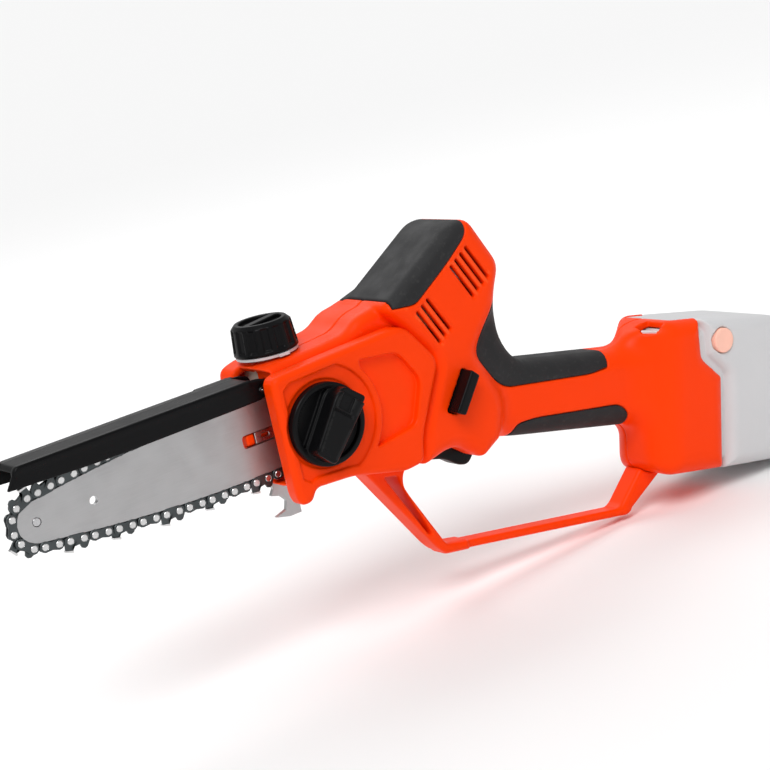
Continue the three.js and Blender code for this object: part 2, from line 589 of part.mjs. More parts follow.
// Pieces on the motor shaft; local +X runs up the shaft from the gearbox.
function motor() {
  const along = (name, solid, material) => place(name, solid, material, motorLine);
  const disc = (inner, outer, from, to, sides = 24) => ring(inner, outer, from, to, 'x', sides);
  const pinion = prism(toothed(PINION_TEETH, 3.4, 4.4, 0.6), 25.3, 30.5);
  const pinionGeometry = geometryOf(cut(pinion, rod(2.6, 20, 40, 0, 0, 12)));
  pinionGeometry.rotateZ(-Math.PI / 2);
  along('motor_pinion', solidOf(pinionGeometry), BRASS);
  along('motor_shaft', turned([[0, 25.1], [2.3, 25.1], [2.3, 87], [0, 87]], 'x', 16), STEEL);
  along('motor_mount_plate', disc(6, MOTOR_R, 37.8, 41.2, 28), STEEL);
  along('motor_bearing_front', disc(2.6, 5.7, 38, 41), STEEL);
  along('motor_stator', disc(12.4, MOTOR_R, 41.5, 75, 28), COPPER);
  along('motor_rotor', disc(2.6, 11.8, 42.5, 74, 20), DARK_STEEL);
  along('motor_end_cap', disc(6, MOTOR_R, 75.3, 78.3, 28), STEEL);
  along('motor_bearing_rear', disc(2.6, 5.7, 75.5, 78.1), STEEL);
  const blades = [];
  for (let i = 0; i < FAN_BLADES; i += 1) {
    const geometry = new THREE.BoxGeometry(4.2, 1.2, 7.5);
    geometry.translate(83.2, 0, 9);
    geometry.rotateX((2 * Math.PI * i) / FAN_BLADES);
    blades.push(solidOf(geometry));
  }
  along('motor_fan', join(disc(2.6, 13.5, 80, 81.4), disc(2.6, 5, 80, 85), ...blades), BLACK);
}

// ---------------------------------------------------------------- controls
function controls() {
  const lever = [
    [22.5, -33, 2], [30, -32, 2], [50, -33, 2], [56.5, -44, 2], [57, -51.5, 3], [52, -56, 3],
    [46.5, -54.6, 3], [38, -48, 5], [28, -45.5, 3], [22, -40, 3],
  ];
  const [px, pz] = TRIGGER_PIVOT;
  const trigger = cut(
    prism(lever, CENTRE_Y - 6.4, CENTRE_Y + 6.4),
    rod(1.8, -20, 40, px, pz, 14),
    post(2.8, -40, -30, 46, CENTRE_Y, 16),
  );
  place('trigger', trigger, BLACK);
  place('trigger_pin', rod(1.5, CENTRE_Y - 15, CENTRE_Y + 15, px, pz, 12), STEEL);
  place('trigger_spring', coil(1.9, 0.35, 9, 5), STEEL, saw, [46, CENTRE_Y, -38.5]);
  place('trigger_switch', block(36, 60, 0, 14, -28, -17), BLACK);
  const button = join(
    prism(LOCK_SLOT, BODY_NEAR_Y - 8.5, -13, { inset: 0.5 }),
    prism(LOCK_SLOT, 17, REAR_FAR_Y + 8.5, { inset: 0.5 }),
    rod(4, -14, 18, 41.5, -10.5, 20),
  );
  place('lock_off_button', button, BLACK);
}

// ---------------------------------------------------------------- electrics and battery
// Pieces along the handle; local X is along the handle axis and local Z is above it.
function electrics() {
  const slide = (name, solid, material) => place(name, solid, material, handleLine);
  slide('controller_board', block(112, 158, CENTRE_Y - 10, CENTRE_Y + 10, -14, -12.2), BOARD);
  slide('terminal_block', block(180.4, 182.7, -9, 11, -40, -12), BLACK);
  const lead = (y) => tube([[180, y, -24], [168, y, -22], [160, y, -18], [146, y, -16.4]], 1.3, 10);
  slide('battery_lead_positive', lead(9), RED);
  slide('battery_lead_negative', lead(0), BLACK);
}

const BUTTON = [223, 11]; // battery release buttons, along and above the handle axis
function batteryPack() {
  const low = CENTRE_Y - BAY_HALF;
  const high = CENTRE_Y + BAY_HALF;
  const outer = [
    [BUTTON_NOTCH + GAP + 1, 23.5], [262, 22.6], [280, 18], [295.7, 5], [295.7, -52], [284, -61.5],
    [BAY_REAR + GAP, -62.4], [BAY_REAR + GAP, -9], [BUTTON_NOTCH + 3, 2.6],
  ];
  const tongue = [[184, -58.4, 3], [184, 19.6, 3], [230, 19.6], [230, -58.4]];
  const plateau = [[192.5, 12], [192.5, 23.5], [240, 23.2], [240, 12]];
  const rail = [[178.5, 12], [178.5, 19], [190, 19], [190, 12]];
  const [a, b] = BUTTON;
  return cut(
    join(
      prism(outer, low, high, { bevel: 6 }),
      prism(tongue, CENTRE_Y - PACK_HALF, CENTRE_Y + PACK_HALF),
      prism(plateau, CENTRE_Y - 20.6, CENTRE_Y + 20.6),
      prism(rail, CENTRE_Y - 6.5, CENTRE_Y + 6.5),
    ),
    rod(7.4, low - 5, low + 7, a, b, 24), rod(7.4, high - 7, high + 5, a, b, 24),
    bayCorners(WALL + GAP, 0),
  );
}

function battery() {
  const [a, b] = BUTTON;
  const low = CENTRE_Y - BAY_HALF;
  const high = CENTRE_Y + BAY_HALF;
  place('battery_pack', batteryPack(), PALE, handleLine);
  place('battery_button_left', rod(7, low - 1.2, low + 3.5, a, b, 24), PINK, handleLine);
  place('battery_button_right', rod(7, high - 3.5, high + 1.2, a, b, 24), PINK, handleLine);
}

// ---------------------------------------------------------------- fasteners and bumper spike
function spikeAndScrews() {
  const spike = [
    [-63, -20], [-45.5, -20], [-45.5, -31], [-50, -34], [-50, -46.5], [-57, -46.5], [-65, -44.4],
    [-58.5, -42.5], [-57, -38], [-60, -34.5], [-65, -33], [-63, -30],
  ];
  const plate = cut(
    prism(spike, CENTRE_Y - 1.25, CENTRE_Y + 1.25),
    ...SPIKE_SCREWS.map(([x, z]) => rod(1.9, 0, 20, x, z, 12)),
  );
  place('bumper_spike', plate, STEEL);
  const screw = (tip, face) => join(
    rod(1.6, tip, face - 1, 0, 0, 12),
    rod(3, face - HEAD_HEIGHT - 0.1, face - 0.1, 0, 0, 16),
  );
  SPIKE_SCREWS.forEach(([x, z, face], i) =>
    place(`spike_screw_${i + 1}`, screw(4.6, face), STEEL, saw, [x, 0, z]));
  HOUSING_SCREWS.forEach(([x, z, face], i) =>
    place(`housing_screw_${i + 1}`, screw(CENTRE_Y - 10, face), STEEL, saw, [x, 0, z]));
  const screwProfile = [[0, -68], [3.2, -68], [3.2, -65.4], [1.5, -65.4], [1.5, -46.5], [0, -46.5]];
  const tension = turned(screwProfile, 'x', 14);
  place('tension_screw', tension, STEEL, saw, [0, ADJUSTER_Y, ADJUSTER[1]]);
}

housing();
place('hand_guard', handGuard(), ORANGE);
barAndChain();
coverAndKnob();
guardSet();
oilSystem();
chainDrive();
motor();
controls();
electrics();
battery();
spikeAndScrews();

// Everything above is measured from the drive sprocket's centre.
for (const mesh of saw.children) mesh.position.sub(new THREE.Vector3(...ORIGIN));

export default saw;
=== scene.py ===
"""Looks of a cordless pruning chainsaw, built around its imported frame.

Shapes are worked out in millimetres from the drive sprocket's centre, along the frame's own axes: -X is
forward along the bar, -Y is the side with the sprocket cover and +Z is up. Most pieces are moulded: each is a
signed distance field (negative inside), turned into a smooth mesh by surface_of().
"""

import itertools
import json
import math

import bpy
import numpy as np
from mathutils import Matrix, Vector


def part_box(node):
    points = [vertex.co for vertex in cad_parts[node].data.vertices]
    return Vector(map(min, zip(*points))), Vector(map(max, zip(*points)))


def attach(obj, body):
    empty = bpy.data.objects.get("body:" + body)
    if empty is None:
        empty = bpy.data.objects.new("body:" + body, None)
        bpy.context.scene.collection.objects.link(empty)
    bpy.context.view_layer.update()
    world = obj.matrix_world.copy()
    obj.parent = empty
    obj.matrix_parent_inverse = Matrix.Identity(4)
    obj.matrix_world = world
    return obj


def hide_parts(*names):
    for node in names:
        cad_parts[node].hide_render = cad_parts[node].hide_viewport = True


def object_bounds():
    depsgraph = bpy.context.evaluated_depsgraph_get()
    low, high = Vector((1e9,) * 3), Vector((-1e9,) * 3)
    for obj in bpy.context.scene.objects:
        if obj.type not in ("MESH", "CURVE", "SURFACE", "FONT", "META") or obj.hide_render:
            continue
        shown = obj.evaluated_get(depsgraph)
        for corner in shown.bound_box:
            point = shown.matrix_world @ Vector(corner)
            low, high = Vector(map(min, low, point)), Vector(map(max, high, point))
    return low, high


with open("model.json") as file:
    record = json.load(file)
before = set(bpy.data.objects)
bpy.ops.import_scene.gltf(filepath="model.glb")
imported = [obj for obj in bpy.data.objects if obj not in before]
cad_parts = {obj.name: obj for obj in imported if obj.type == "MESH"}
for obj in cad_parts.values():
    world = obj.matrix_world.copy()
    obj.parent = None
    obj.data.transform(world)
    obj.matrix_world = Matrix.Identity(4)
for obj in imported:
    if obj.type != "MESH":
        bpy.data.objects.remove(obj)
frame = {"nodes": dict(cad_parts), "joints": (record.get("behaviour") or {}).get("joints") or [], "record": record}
cad_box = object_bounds()

MM = 0.001
GAP = 0.3  # clearance between neighbouring pieces
WALL = 4.0  # thickness of the housings
RUBBER = 1.6  # thickness of the over-mouldings
OPEN = 90.0  # well past either side of the body

JOINTS = {joint["name"]: joint for joint in frame["joints"]}
SPROCKET = Vector(JOINTS["chain_drive_spin"]["pos_m"])  # the drive sprocket's centre in the frame


def low(node):
    """Lowest corner of a CAD node's box, in millimetres from the drive sprocket's centre."""
    return (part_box(node)[0] - SPROCKET) / MM


def high(node):
    """Highest corner of the same box."""
    return (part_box(node)[1] - SPROCKET) / MM


def middle(node):
    return (low(node) + high(node)) / 2


def pivot(joint):
    """A joint's point on its axis, in millimetres from the drive sprocket's centre."""
    return (Vector(JOINTS[joint]["pos_m"]) - SPROCKET) / MM


# Planes, points and directions of the frame
SEAM_TO_BAR = 11.5  # from the cover's seam to the bar's far face
LOCK_PROUD = 8.5  # how far the lock-off button stands out on the far side
SPLIT_Y = (high("housing_left").y + low("housing_right").y) / 2
COVER_FACE_Y = low("sprocket_cover").y
COVER_SEAM_Y = high("guide_bar").y - SEAM_TO_BAR
REAR_NEAR_Y = -20.0
REAR_FAR_Y = high("lock_off_button").y - LOCK_PROUD
SCREW_SUNK = 0.1  # how far the screws' heads lie under the far face
FRONT_FAR_Y = high("housing_screw_1").y + SCREW_SUNK
BAY_NEAR_Y = low("housing_left").y
BAY_FAR_Y = high("housing_right").y
HANDLE_HALF = 18.0
NOSE_X = pivot("nose_spin").x
STUD_X = pivot("knob_turn").x
CAP_X, CAP_Y = pivot("oil_cap_turn").x, pivot("oil_cap_turn").y
HANDLE_AXIS = Vector(JOINTS["battery_slide"]["axis"])
HANDLE_COS, HANDLE_SIN = HANDLE_AXIS.x, -HANDLE_AXIS.z


# ---------------------------------------------------------------- distance fields in the XZ plane
CORNER_POINTS = 5


def rounded(points, radius):
    """Outline with each corner rounded; a corner's own third value replaces the common radius."""
    result = []
    for i, corner in enumerate(points):
        here = np.array(corner[:2], float)
        before = np.array(points[i - 1][:2], float) - here
        after = np.array(points[(i + 1) % len(points)][:2], float) - here
        r = corner[2] if len(corner) > 2 else radius
        r = min(r, 0.45 * np.linalg.norm(before), 0.45 * np.linalg.norm(after))
        if r <= 0:
            result.append(here)
            continue
        start = here + before / np.linalg.norm(before) * r
        end = here + after / np.linalg.norm(after) * r
        for t in np.linspace(0, 1, CORNER_POINTS):
            result.append((1 - t) ** 2 * start + 2 * t * (1 - t) * here + t * t * end)
    return np.array(result)


def area(points, radius=0.0):
    """Distance to an outline in X and Z."""
    corners = rounded(points, radius)

    def field(x, z):
        shape = np.broadcast(x, z).shape
        nearest = np.full(shape, np.inf)
        outside = np.ones(shape, bool)
        for (ax, az), (bx, bz) in zip(corners, np.roll(corners, -1, axis=0)):
            ex, ez = bx - ax, bz - az
            wx, wz = x - ax, z - az
            t = np.clip((wx * ex + wz * ez) / max(ex * ex + ez * ez, 1e-12), 0, 1)
            nearest = np.minimum(nearest, (wx - ex * t) ** 2 + (wz - ez * t) ** 2)
            above, below, left = z >= az, z < bz, ex * wz > ez * wx
            flip = (above & below & left) | (~above & ~below & ~left)
            outside ^= flip
        return np.where(outside, 1, -1) * np.sqrt(nearest)

    return field


def disc(radius, cx=0.0, cz=0.0):
    return lambda x, z: np.hypot(x - cx, z - cz) - radius


# ---------------------------------------------------------------- distance fields in space
def slab(shape, y0, y1, edge=0.0):
    """An XZ shape carried from y0 to y1, with its long edges rounded."""
    centre, half = (y0 + y1) / 2, (y1 - y0) / 2

    def field(x, y, z):
        u = shape(x, z) + edge
        v = np.abs(y - centre) - half + edge
        return np.minimum(np.maximum(u, v), 0) + np.hypot(np.maximum(u, 0), np.maximum(v, 0)) - edge

    return field


def box(x0, x1, y0, y1, z0, z1):
    def field(x, y, z):
        dx, dy, dz = abs(x - (x0 + x1) / 2), abs(y - (y0 + y1) / 2), abs(z - (z0 + z1) / 2)
        return np.maximum(np.maximum(dx - (x1 - x0) / 2, dy - (y1 - y0) / 2), dz - (z1 - z0) / 2)

    return field


def union(*fields, soft=0.0):
    def field(x, y, z):
        total = fields[0](x, y, z)
        for other in fields[1:]:
            total = soft_min(total, other(x, y, z), soft)
        return total

    return field


def cut(field, *tools, soft=0.0):
    def rest(x, y, z):
        total = field(x, y, z)
        for tool in tools:
            total = -soft_min(-total, tool(x, y, z), soft)
        return total

    return rest


def common(*fields, soft=0.0):
    def field(x, y, z):
        total = fields[0](x, y, z)
        for other in fields[1:]:
            total = -soft_min(-total, -other(x, y, z), soft)
        return total

    return field


def offset(field, amount):
    """The same solid, fatter by amount."""
    return lambda x, y, z: field(x, y, z) - amount


def soft_min(a, b, k):
    if k <= 0:
        return np.minimum(a, b)
    h = np.maximum(k - np.abs(a - b), 0) / k
    return np.minimum(a, b) - h * h * k / 4


def handle_frame(x, z):
    """Distances along and above the handle's axis."""
    return x * HANDLE_COS - z * HANDLE_SIN, x * HANDLE_SIN + z * HANDLE_COS


def behind(points):
    """Turns (along, above) the handle's axis into (x, z); a third value is kept."""
    return [
        (a * HANDLE_COS + b * HANDLE_SIN, b * HANDLE_COS - a * HANDLE_SIN, *more) for a, b, *more in points
    ]


# ---------------------------------------------------------------- meshes from fields
def surface_of(field, lowest, highest, step):
    """Surface nets: one vertex in each cell that the surface crosses, then pulled onto the surface."""
    axes = [np.arange(a, b + step, step) for a, b in zip(lowest, highest)]
    grid = (axes[0][:, None, None], axes[1][None, :, None], axes[2][None, None, :])
    values = np.broadcast_to(field(*grid), tuple(len(a) for a in axes)).astype(np.float32)
    inside = values < 0
    cells_shape = tuple(n - 1 for n in inside.shape)
    count = np.zeros(cells_shape, np.int8)
    for corner in itertools.product((0, 1), repeat=3):
        count += inside[tuple(slice(c, n + c) for c, n in zip(corner, cells_shape))]
    active = (count > 0) & (count < 8)
    cells = np.argwhere(active)
    index = np.full(cells_shape, -1, np.int64)
    index[active] = np.arange(len(cells))

    total, hits = np.zeros((len(cells), 3)), np.zeros(len(cells))
    for axis in range(3):
        others = [a for a in range(3) if a != axis]
        for p, q in itertools.product((0, 1), repeat=2):
            start = cells.copy()
            start[:, others[0]] += p
            start[:, others[1]] += q
            end = start.copy()
            end[:, axis] += 1
            a, b = values[tuple(start.T)], values[tuple(end.T)]
            crossing = (a < 0) != (b < 0)
            point = start.astype(float)
            point[:, axis] += np.where(crossing, a / np.where(crossing, a - b, 1), 0)
            total += point * crossing[:, None]
            hits += crossing
    points = np.array([a[0] for a in axes]) + step * total / hits[:, None]

    quads = []
    for axis in range(3):
        u, v = (axis + 1) % 3, (axis + 2) % 3
        start = inside[tuple(slice(0, -1) if a == axis else slice(1, -1) for a in range(3))]
        end = inside[tuple(slice(1, None) if a == axis else slice(1, -1) for a in range(3))]
        crossing = start != end
        node = np.argwhere(crossing)
        node[:, u] += 1
        node[:, v] += 1
        step_u, step_v = np.eye(3, dtype=int)[u], np.eye(3, dtype=int)[v]
        around = (node - step_u - step_v, node - step_v, node, node - step_u)
        quad = np.stack([index[tuple(n.T)] for n in around], 1)
        inward = ~start[crossing]
        quad[inward] = quad[inward][:, ::-1]
        quads.append(quad)

    probe, flattest = 0.02, 0.3
    for _ in range(3):
        value = field(*points.T)
        slope = np.stack([field(*(points + e).T) - value for e in probe * np.eye(3)], 1) / probe
        shift = value / np.maximum((slope**2).sum(1), flattest)
        points = points - np.clip(shift, -step / 2, step / 2)[:, None] * slope
    return points, np.concatenate(quads)


def mesh_object(name, points, faces):
    """A smooth-shaded object from points in millimetres and faces of equal size."""
    mesh = bpy.data.meshes.new(name)
    points = (np.asarray(points) * MM + np.array(SPROCKET)).astype(np.float32)
    faces = np.asarray(faces, np.int32)
    sides = faces.shape[1]
    mesh.vertices.add(len(points))
    mesh.vertices.foreach_set("co", points.ravel())
    mesh.loops.add(faces.size)
    mesh.loops.foreach_set("vertex_index", faces.ravel())
    mesh.polygons.add(len(faces))
    mesh.polygons.foreach_set("loop_start", np.arange(0, faces.size, sides, dtype=np.int32))
    mesh.polygons.foreach_set("use_smooth", np.ones(len(faces), bool))
    mesh.update(calc_edges=True)
    mesh.validate()
    piece = bpy.data.objects.new(name, mesh)
    bpy.context.scene.collection.objects.link(piece)
    return piece


def moulded(name, field, nodes, body, slot, step=0.8, margin=2.0):
    """A moulded piece that stands for CAD nodes and fills their box."""
    lowest = [min(low(n)[i] for n in nodes) - margin for i in range(3)]
    highest = [max(high(n)[i] for n in nodes) + margin for i in range(3)]
    piece = mesh_object(name, *surface_of(field, lowest, highest, step))
    piece.data.materials.append(MATERIALS[slot])
    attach(piece, body)
    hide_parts(*nodes)
    return piece


# ---------------------------------------------------------------- materials
class Shader:
    """A Principled material that is put together from small procedural layers."""

    def __init__(self, name, colour, roughness, metallic=0.0, specular=0.5):
        self.material = bpy.data.materials.new(name)
        self.material.use_nodes = True
        self.tree = self.material.node_tree
        self.base = next(n for n in self.tree.nodes if n.type == "BSDF_PRINCIPLED")
        self.base.inputs["Metallic"].default_value = metallic
        self.base.inputs["Specular IOR Level"].default_value = specular
        coordinates = self.tree.nodes.new("ShaderNodeTexCoord")
        self.place = coordinates.outputs["Object"]
        self.colour = self.rgb(colour)
        self.roughness = self.number(roughness)
        self.height = None

    def rgb(self, colour):
        node = self.tree.nodes.new("ShaderNodeRGB")
        node.outputs[0].default_value = (*colour, 1)
        return node.outputs[0]

    def number(self, value):
        node = self.tree.nodes.new("ShaderNodeValue")
        node.outputs[0].default_value = value
        return node.outputs[0]

    def math(self, operation, a, b):
        node = self.tree.nodes.new("ShaderNodeMath")
        node.operation = operation
        for socket, value in zip(node.inputs, (a, b)):
            if isinstance(value, (int, float)):
                socket.default_value = value
            else:
                self.tree.links.new(value, socket)
        return node.outputs[0]

    def noise(self, size_mm, detail=3.0, stretch=(1, 1, 1)):
        """Noise from 0 to 1 with features of about size_mm, stretched along an axis."""
        mapping = self.tree.nodes.new("ShaderNodeMapping")
        mapping.inputs["Scale"].default_value = tuple(1 / (size_mm * MM * s) for s in stretch)
        self.tree.links.new(self.place, mapping.inputs["Vector"])
        node = self.tree.nodes.new("ShaderNodeTexNoise")
        node.inputs["Scale"].default_value = 1.0
        node.inputs["Detail"].default_value = detail
        self.tree.links.new(mapping.outputs[0], node.inputs["Vector"])
        return node.outputs["Fac"]

    def spread(self, value, from_low, from_high, to_low, to_high):
        node = self.tree.nodes.new("ShaderNodeMapRange")
        node.clamp = True
        self.tree.links.new(value, node.inputs["Value"])
        for key, number in zip(("From Min", "From Max", "To Min", "To Max"),
                               (from_low, from_high, to_low, to_high)):
            node.inputs[key].default_value = number
        return node.outputs[0]

    def tint(self, factor, colour):
        """Lays a colour over the present one by factor."""
        node = self.tree.nodes.new("ShaderNodeMix")
        node.data_type = "RGBA"
        self.tree.links.new(factor, node.inputs["Factor"])
        self.tree.links.new(self.colour, node.inputs["A"])
        node.inputs["B"].default_value = (*colour, 1)
        self.colour = node.outputs["Result"]
        return self

    def vary_roughness(self, value, amount):
        """Adds up to amount either way."""
        change = self.spread(value, 0.3, 0.7, -amount, amount)
        self.roughness = self.math("ADD", self.roughness, change)
        return self

    def bump(self, value, height_mm):
        scaled = self.math("MULTIPLY", value, height_mm * MM)
        self.height = scaled if self.height is None else self.math("ADD", self.height, scaled)
        return self

    def edges(self, colour, amount, sharpness=0.54):
        """Lighter colour where the surface bends sharply outward: wear, and a painted highlight along these edges.
        """
        geometry = self.tree.nodes.new("ShaderNodeNewGeometry")
        # painted highlight with wear: lighter colour laid on sharp outer edges
        highlight_and_wear = self.spread(geometry.outputs["Pointiness"], sharpness, sharpness + 0.08, 0, amount)
        return self.tint(highlight_and_wear, colour)

    def finish(self):
        link = self.tree.links.new
        link(self.colour, self.base.inputs["Base Color"])
        link(self.roughness, self.base.inputs["Roughness"])
        if self.height is not None:
            node = self.tree.nodes.new("ShaderNodeBump")
            node.inputs["Distance"].default_value = 1.0
            node.inputs["Strength"].default_value = 1.0
            link(self.height, node.inputs["Height"])
            link(node.outputs["Normal"], self.base.inputs["Normal"])
        return self.material


def plastic(name, colour, roughness, grain=0.012, edge=None, dust=0.05, specular=0.3):
    """Moulded plastic: fine spark-eroded grain, faint flow variation, scuffed edges with a painted highlight on
    them.
    """
    s = Shader(name, colour, roughness, specular=specular)
    flow = s.noise(38, 2)
    s.tint(s.spread(flow, 0.35, 0.65, 0, 0.10), [c * 0.82 for c in colour])
    s.tint(s.spread(s.noise(5, 4), 0.45, 0.8, 0, dust), [min(1, c * 1.15 + 0.02) for c in colour])
    # lighter sharp edges: painted highlight together with scuffing
    if edge:
        s.edges(edge, 0.5)
    s.vary_roughness(s.noise(14, 4), 0.07)
    s.bump(s.noise(0.35, 2), grain)
    s.bump(s.noise(9, 2), 0.02)
    return s.finish()


def rubber(name, colour):
    """Over-moulded rubber: matt, with a coarser pebbled grain and a little dust."""
    s = Shader(name, colour, 0.62, specular=0.25)
    s.tint(s.spread(s.noise(22, 3), 0.4, 0.7, 0, 0.35), [c * 1.35 for c in colour])
    s.tint(s.spread(s.noise(2.5, 5), 0.55, 0.85, 0, 0.10), (0.22, 0.21, 0.20))
    s.vary_roughness(s.noise(10, 4), 0.08)
    s.bump(s.noise(0.5, 1), 0.035)
    return s.finish()


def metal(name, colour, roughness, brush=(1, 1, 1), grime=0.15):
    """Steel or brass: brushed along an axis or turned, with faint stains."""
    s = Shader(name, colour, roughness, metallic=1.0)
    s.tint(s.spread(s.noise(16, 4), 0.45, 0.75, 0, grime), [c * 0.55 for c in colour])
    scratches = s.noise(0.25, 3, brush)
    s.tint(s.spread(scratches, 0.35, 0.65, 0, 0.08), [c * 0.75 for c in colour])
    s.vary_roughness(scratches, 0.05)
    s.vary_roughness(s.noise(11, 4), 0.06)
    s.bump(scratches, 0.006)
    return s.finish()


def board(name, colour):
    """Green solder mask with pale copper tracks under it."""
    s = Shader(name, colour, 0.35)
    tracks = s.noise(3.2, 0, (6, 1, 1))
    s.tint(s.spread(tracks, 0.5, 0.53, 0, 0.6), (0.05, 0.20, 0.07))
    s.vary_roughness(s.noise(4, 3), 0.08)
    s.bump(tracks, 0.03)
    return s.finish()


def windings(name, colour):
    """Copper windings between laminations: fine lines around the stator."""
    s = Shader(name, colour, 0.4, metallic=1.0)
    lines = s.noise(0.8, 1, (1, 12, 12))
    s.tint(s.spread(lines, 0.45, 0.55, 0, 0.8), (0.25, 0.24, 0.23))
    s.bump(lines, 0.05)
    return s.finish()


ORANGE = (1.0, 0.050, 0.0)
# each plastic's edge colour is a painted highlight, with wear, laid on its sharp edges
MATERIALS = {
    "orange_housing": plastic(
        "orange_plastic", ORANGE, 0.38, edge=(1.0, 0.11, 0.02), dust=0.0, specular=0.09
    ),
    "black_rubber": rubber("soft_black_rubber", (0.017, 0.017, 0.018)),
    "black_plastic": plastic(
        "black_plastic", (0.0035, 0.0035, 0.004), 0.32, grain=0.010, edge=(0.02, 0.02, 0.02), dust=0.02,
        specular=0.12
    ),
    "pale_plastic": plastic("pale_grey_plastic", (0.62, 0.62, 0.63), 0.42, edge=(0.80, 0.80, 0.80)),
    "pink_button": plastic("salmon_plastic", (1.0, 0.56, 0.44), 0.40),
    "bar_steel": metal("ground_bar_steel", (0.47, 0.47, 0.475), 0.44, brush=(40, 1, 1), grime=0.06),
    "steel": metal("turned_steel", (0.55, 0.55, 0.56), 0.30, brush=(1, 14, 1)),
    "chain_steel": metal("blued_chain_steel", (0.085, 0.095, 0.098), 0.42, grime=0.3),
    "brass": metal("machined_brass", (0.62, 0.40, 0.12), 0.28),
    "copper_stack": windings("copper_windings", (0.58, 0.24, 0.10)),
    "circuit_board": board("solder_mask", (0.014, 0.10, 0.034)),
    "tank_plastic": plastic("milky_tank_plastic", (0.74, 0.71, 0.60), 0.38),
    "red_wire": plastic("red_wire_sleeve", (0.45, 0.012, 0.008), 0.4),
    "black_wire": plastic("black_wire_sleeve", (0.012, 0.012, 0.012), 0.4),
    "rivet_steel": metal("bright_rivet_steel", (0.66, 0.66, 0.66), 0.26),
}


# ---------------------------------------------------------------- housing
# Outlines as (x, z), or (along, above) the handle inside behind(); a third value is the corner's own rounding
FRONT = [
    (-65, -27), (-65, 31), (-55, 34), (-27, 35), (-10, 36.5), (-1, 42.5), (9, 44), (30, 50), (46, 20),
    (42, -36), (29, -38.5), (12, -42.5), (-25, -34), (-53, -28.5),
]
REAR = [
    (12, -42.5), (14.5, -24), (33, 10), (16, 34), (8, 43), (50, 68.5), (60, 74.5, 11), (71.5, 74, 9),
    (85.5, 46), (76, 26), (58, 6), (70, -24), (64, -43, 2.5), (51, -50, 3), (37, -39), (29, -38.5),
]
NECK = [
    (40, 20), (62, 38), (85.5, 33), (84, 6, 14), (92, -10, 12),
    *behind([(164, 9.8, 14), (185, 10), (185, -36), (172, -33, 8), (88, -31, 10)]),
    (60, -43), (46, -30),
]
BAY_FACE = 176.0
BAY_REAR = 226.3
BAY_TOP = 24.0
BAY_BOTTOM = -62.5
BAY_FLAT = (-14.0, 13.0)
BUTTON_NOTCH = 209.5
BUTTON_X, BUTTON_Z = behind([(223, 11)])[0]
BUTTON_R = 7.0
LATCHES = (-17.5, 17.5)  # sideways places of the two latch windows and the pack's hooks in them
BAY = behind([
    (160, 6), (170, 19), (184, BAY_TOP), (BUTTON_NOTCH, BAY_TOP, 1), (BUTTON_NOTCH + 2, 3, 2),
    (BAY_REAR, -8.5, 2), (BAY_REAR, BAY_BOTTOM, 1), (186, BAY_BOTTOM, 6), (BAY_FACE + 1, -56, 6),
    (BAY_FACE, -30),
])
COVER = [
    (-65, -30, 3), (-65, 30.6, 6), (16, 34, 8), (33, 10, 6), (14.5, -24, 6), (11.5, -38, 4),
    (0, -39, 3), (-31, -31, 3), (-53, -29.5, 3), (-57, -35.5, 3), (-63, -35.5, 3),
]
MOTOR_CAP = [
    (13.5, 41.8), (19, 41.5, 4), (27, 40.6, 8), (51, 55.5, 8), (65, 66, 6), (68.5, 74, 3), (72, 90),
    (13.5, 90),
]
GRIP_TOP = [
    (100, 35), (78, 29.5, 5), (62.5, 12.5, 6), (59, 3, 6), (71, -15, 6), (78, -20.5, 6),
    (134, -31, 5), (147, -31.5, 2), (158, -10),
]
GRIP_BOTTOM = [(70, -60), (80, -41.5, 3), (92, -41.8, 5), (150, -53, 7), (156, -60.5, 7), (152, -85)]
LOCK_SLOT = [(46.5, 1.5, 1.5), (51.5, -3.5, 1.5), (37.5, -21.5, 1.5), (31.5, -18, 1.5)]
TRIGGER_SLOT = [(18, -30), (18, -52), (60, -62), (60, -30)]
SCREWS = [f"spike_screw_{i}" for i in (1, 2)] + [f"housing_screw_{i}" for i in (1, 2, 3, 4)]
SCREW_HEAD_R, SCREW_HEAD, SCREW_R = 3.4, 2.3, 1.9
PIN_R = 1.8
CHAMBER_R = 24.6  # the chain's chamber about the drive sprocket
BEARING_R = 9.3  # seat of the front shaft bearing
STUD_R = 3.2  # hole for the bar stud
TENSION_ROOM = (-61, -45, 1, 8.7, 7, 15)  # room for the tension slider's travel


def bay_corners(inset):
    """Solid to the rear of the two slanted front corners of the battery bay."""
    def field(x, y, z):
        along, _ = handle_frame(x, z)
        near = (BAY_FLAT[0] - y - (along - BAY_FACE)) / math.sqrt(2)
        far = (y - BAY_FLAT[1] - (along - BAY_FACE)) / math.sqrt(2)
        return np.maximum(near, far) + inset

    return field


def hull():
    front = slab(area(FRONT, 5), COVER_SEAM_Y, FRONT_FAR_Y, 6)
    rear = slab(area(REAR, 6), REAR_NEAR_Y, REAR_FAR_Y, 8)
    neck = slab(area(NECK, 8), SPLIT_Y - HANDLE_HALF, SPLIT_Y + HANDLE_HALF, 12)
    bay = slab(area(BAY, 6), BAY_NEAR_Y, BAY_FAR_Y, 10)
    bay = common(bay, bay_corners(0), soft=6)
    return union(union(front, rear, soft=2), union(neck, bay, soft=9), soft=11)


HULL = hull()


def vents():
    """Seven slanted slots in two rows on each side of the motor housing."""
    lean = math.radians(118)
    length, width, step_x, step_z = 22.5, 1.9, -3.75, -2.3
    along, across = (math.cos(lean), math.sin(lean)), (math.sin(lean), -math.cos(lean))

    def slot(x, z):
        corners = [(0, 0.5), (length, 0.5), (length, -0.5), (0, -0.5)]
        return area([
            (x + along[0] * s + across[0] * w * width, z + along[1] * s + across[1] * w * width)
            for s, w in corners
        ], 0.8)

    rows = [(74.5, 41, 4), (44.9, 21.9, 3)]
    return union(*[
        slab(slot(x + step_x * i, z + step_z * i), -OPEN, OPEN) for x, z, count in rows for i in range(count)
    ])


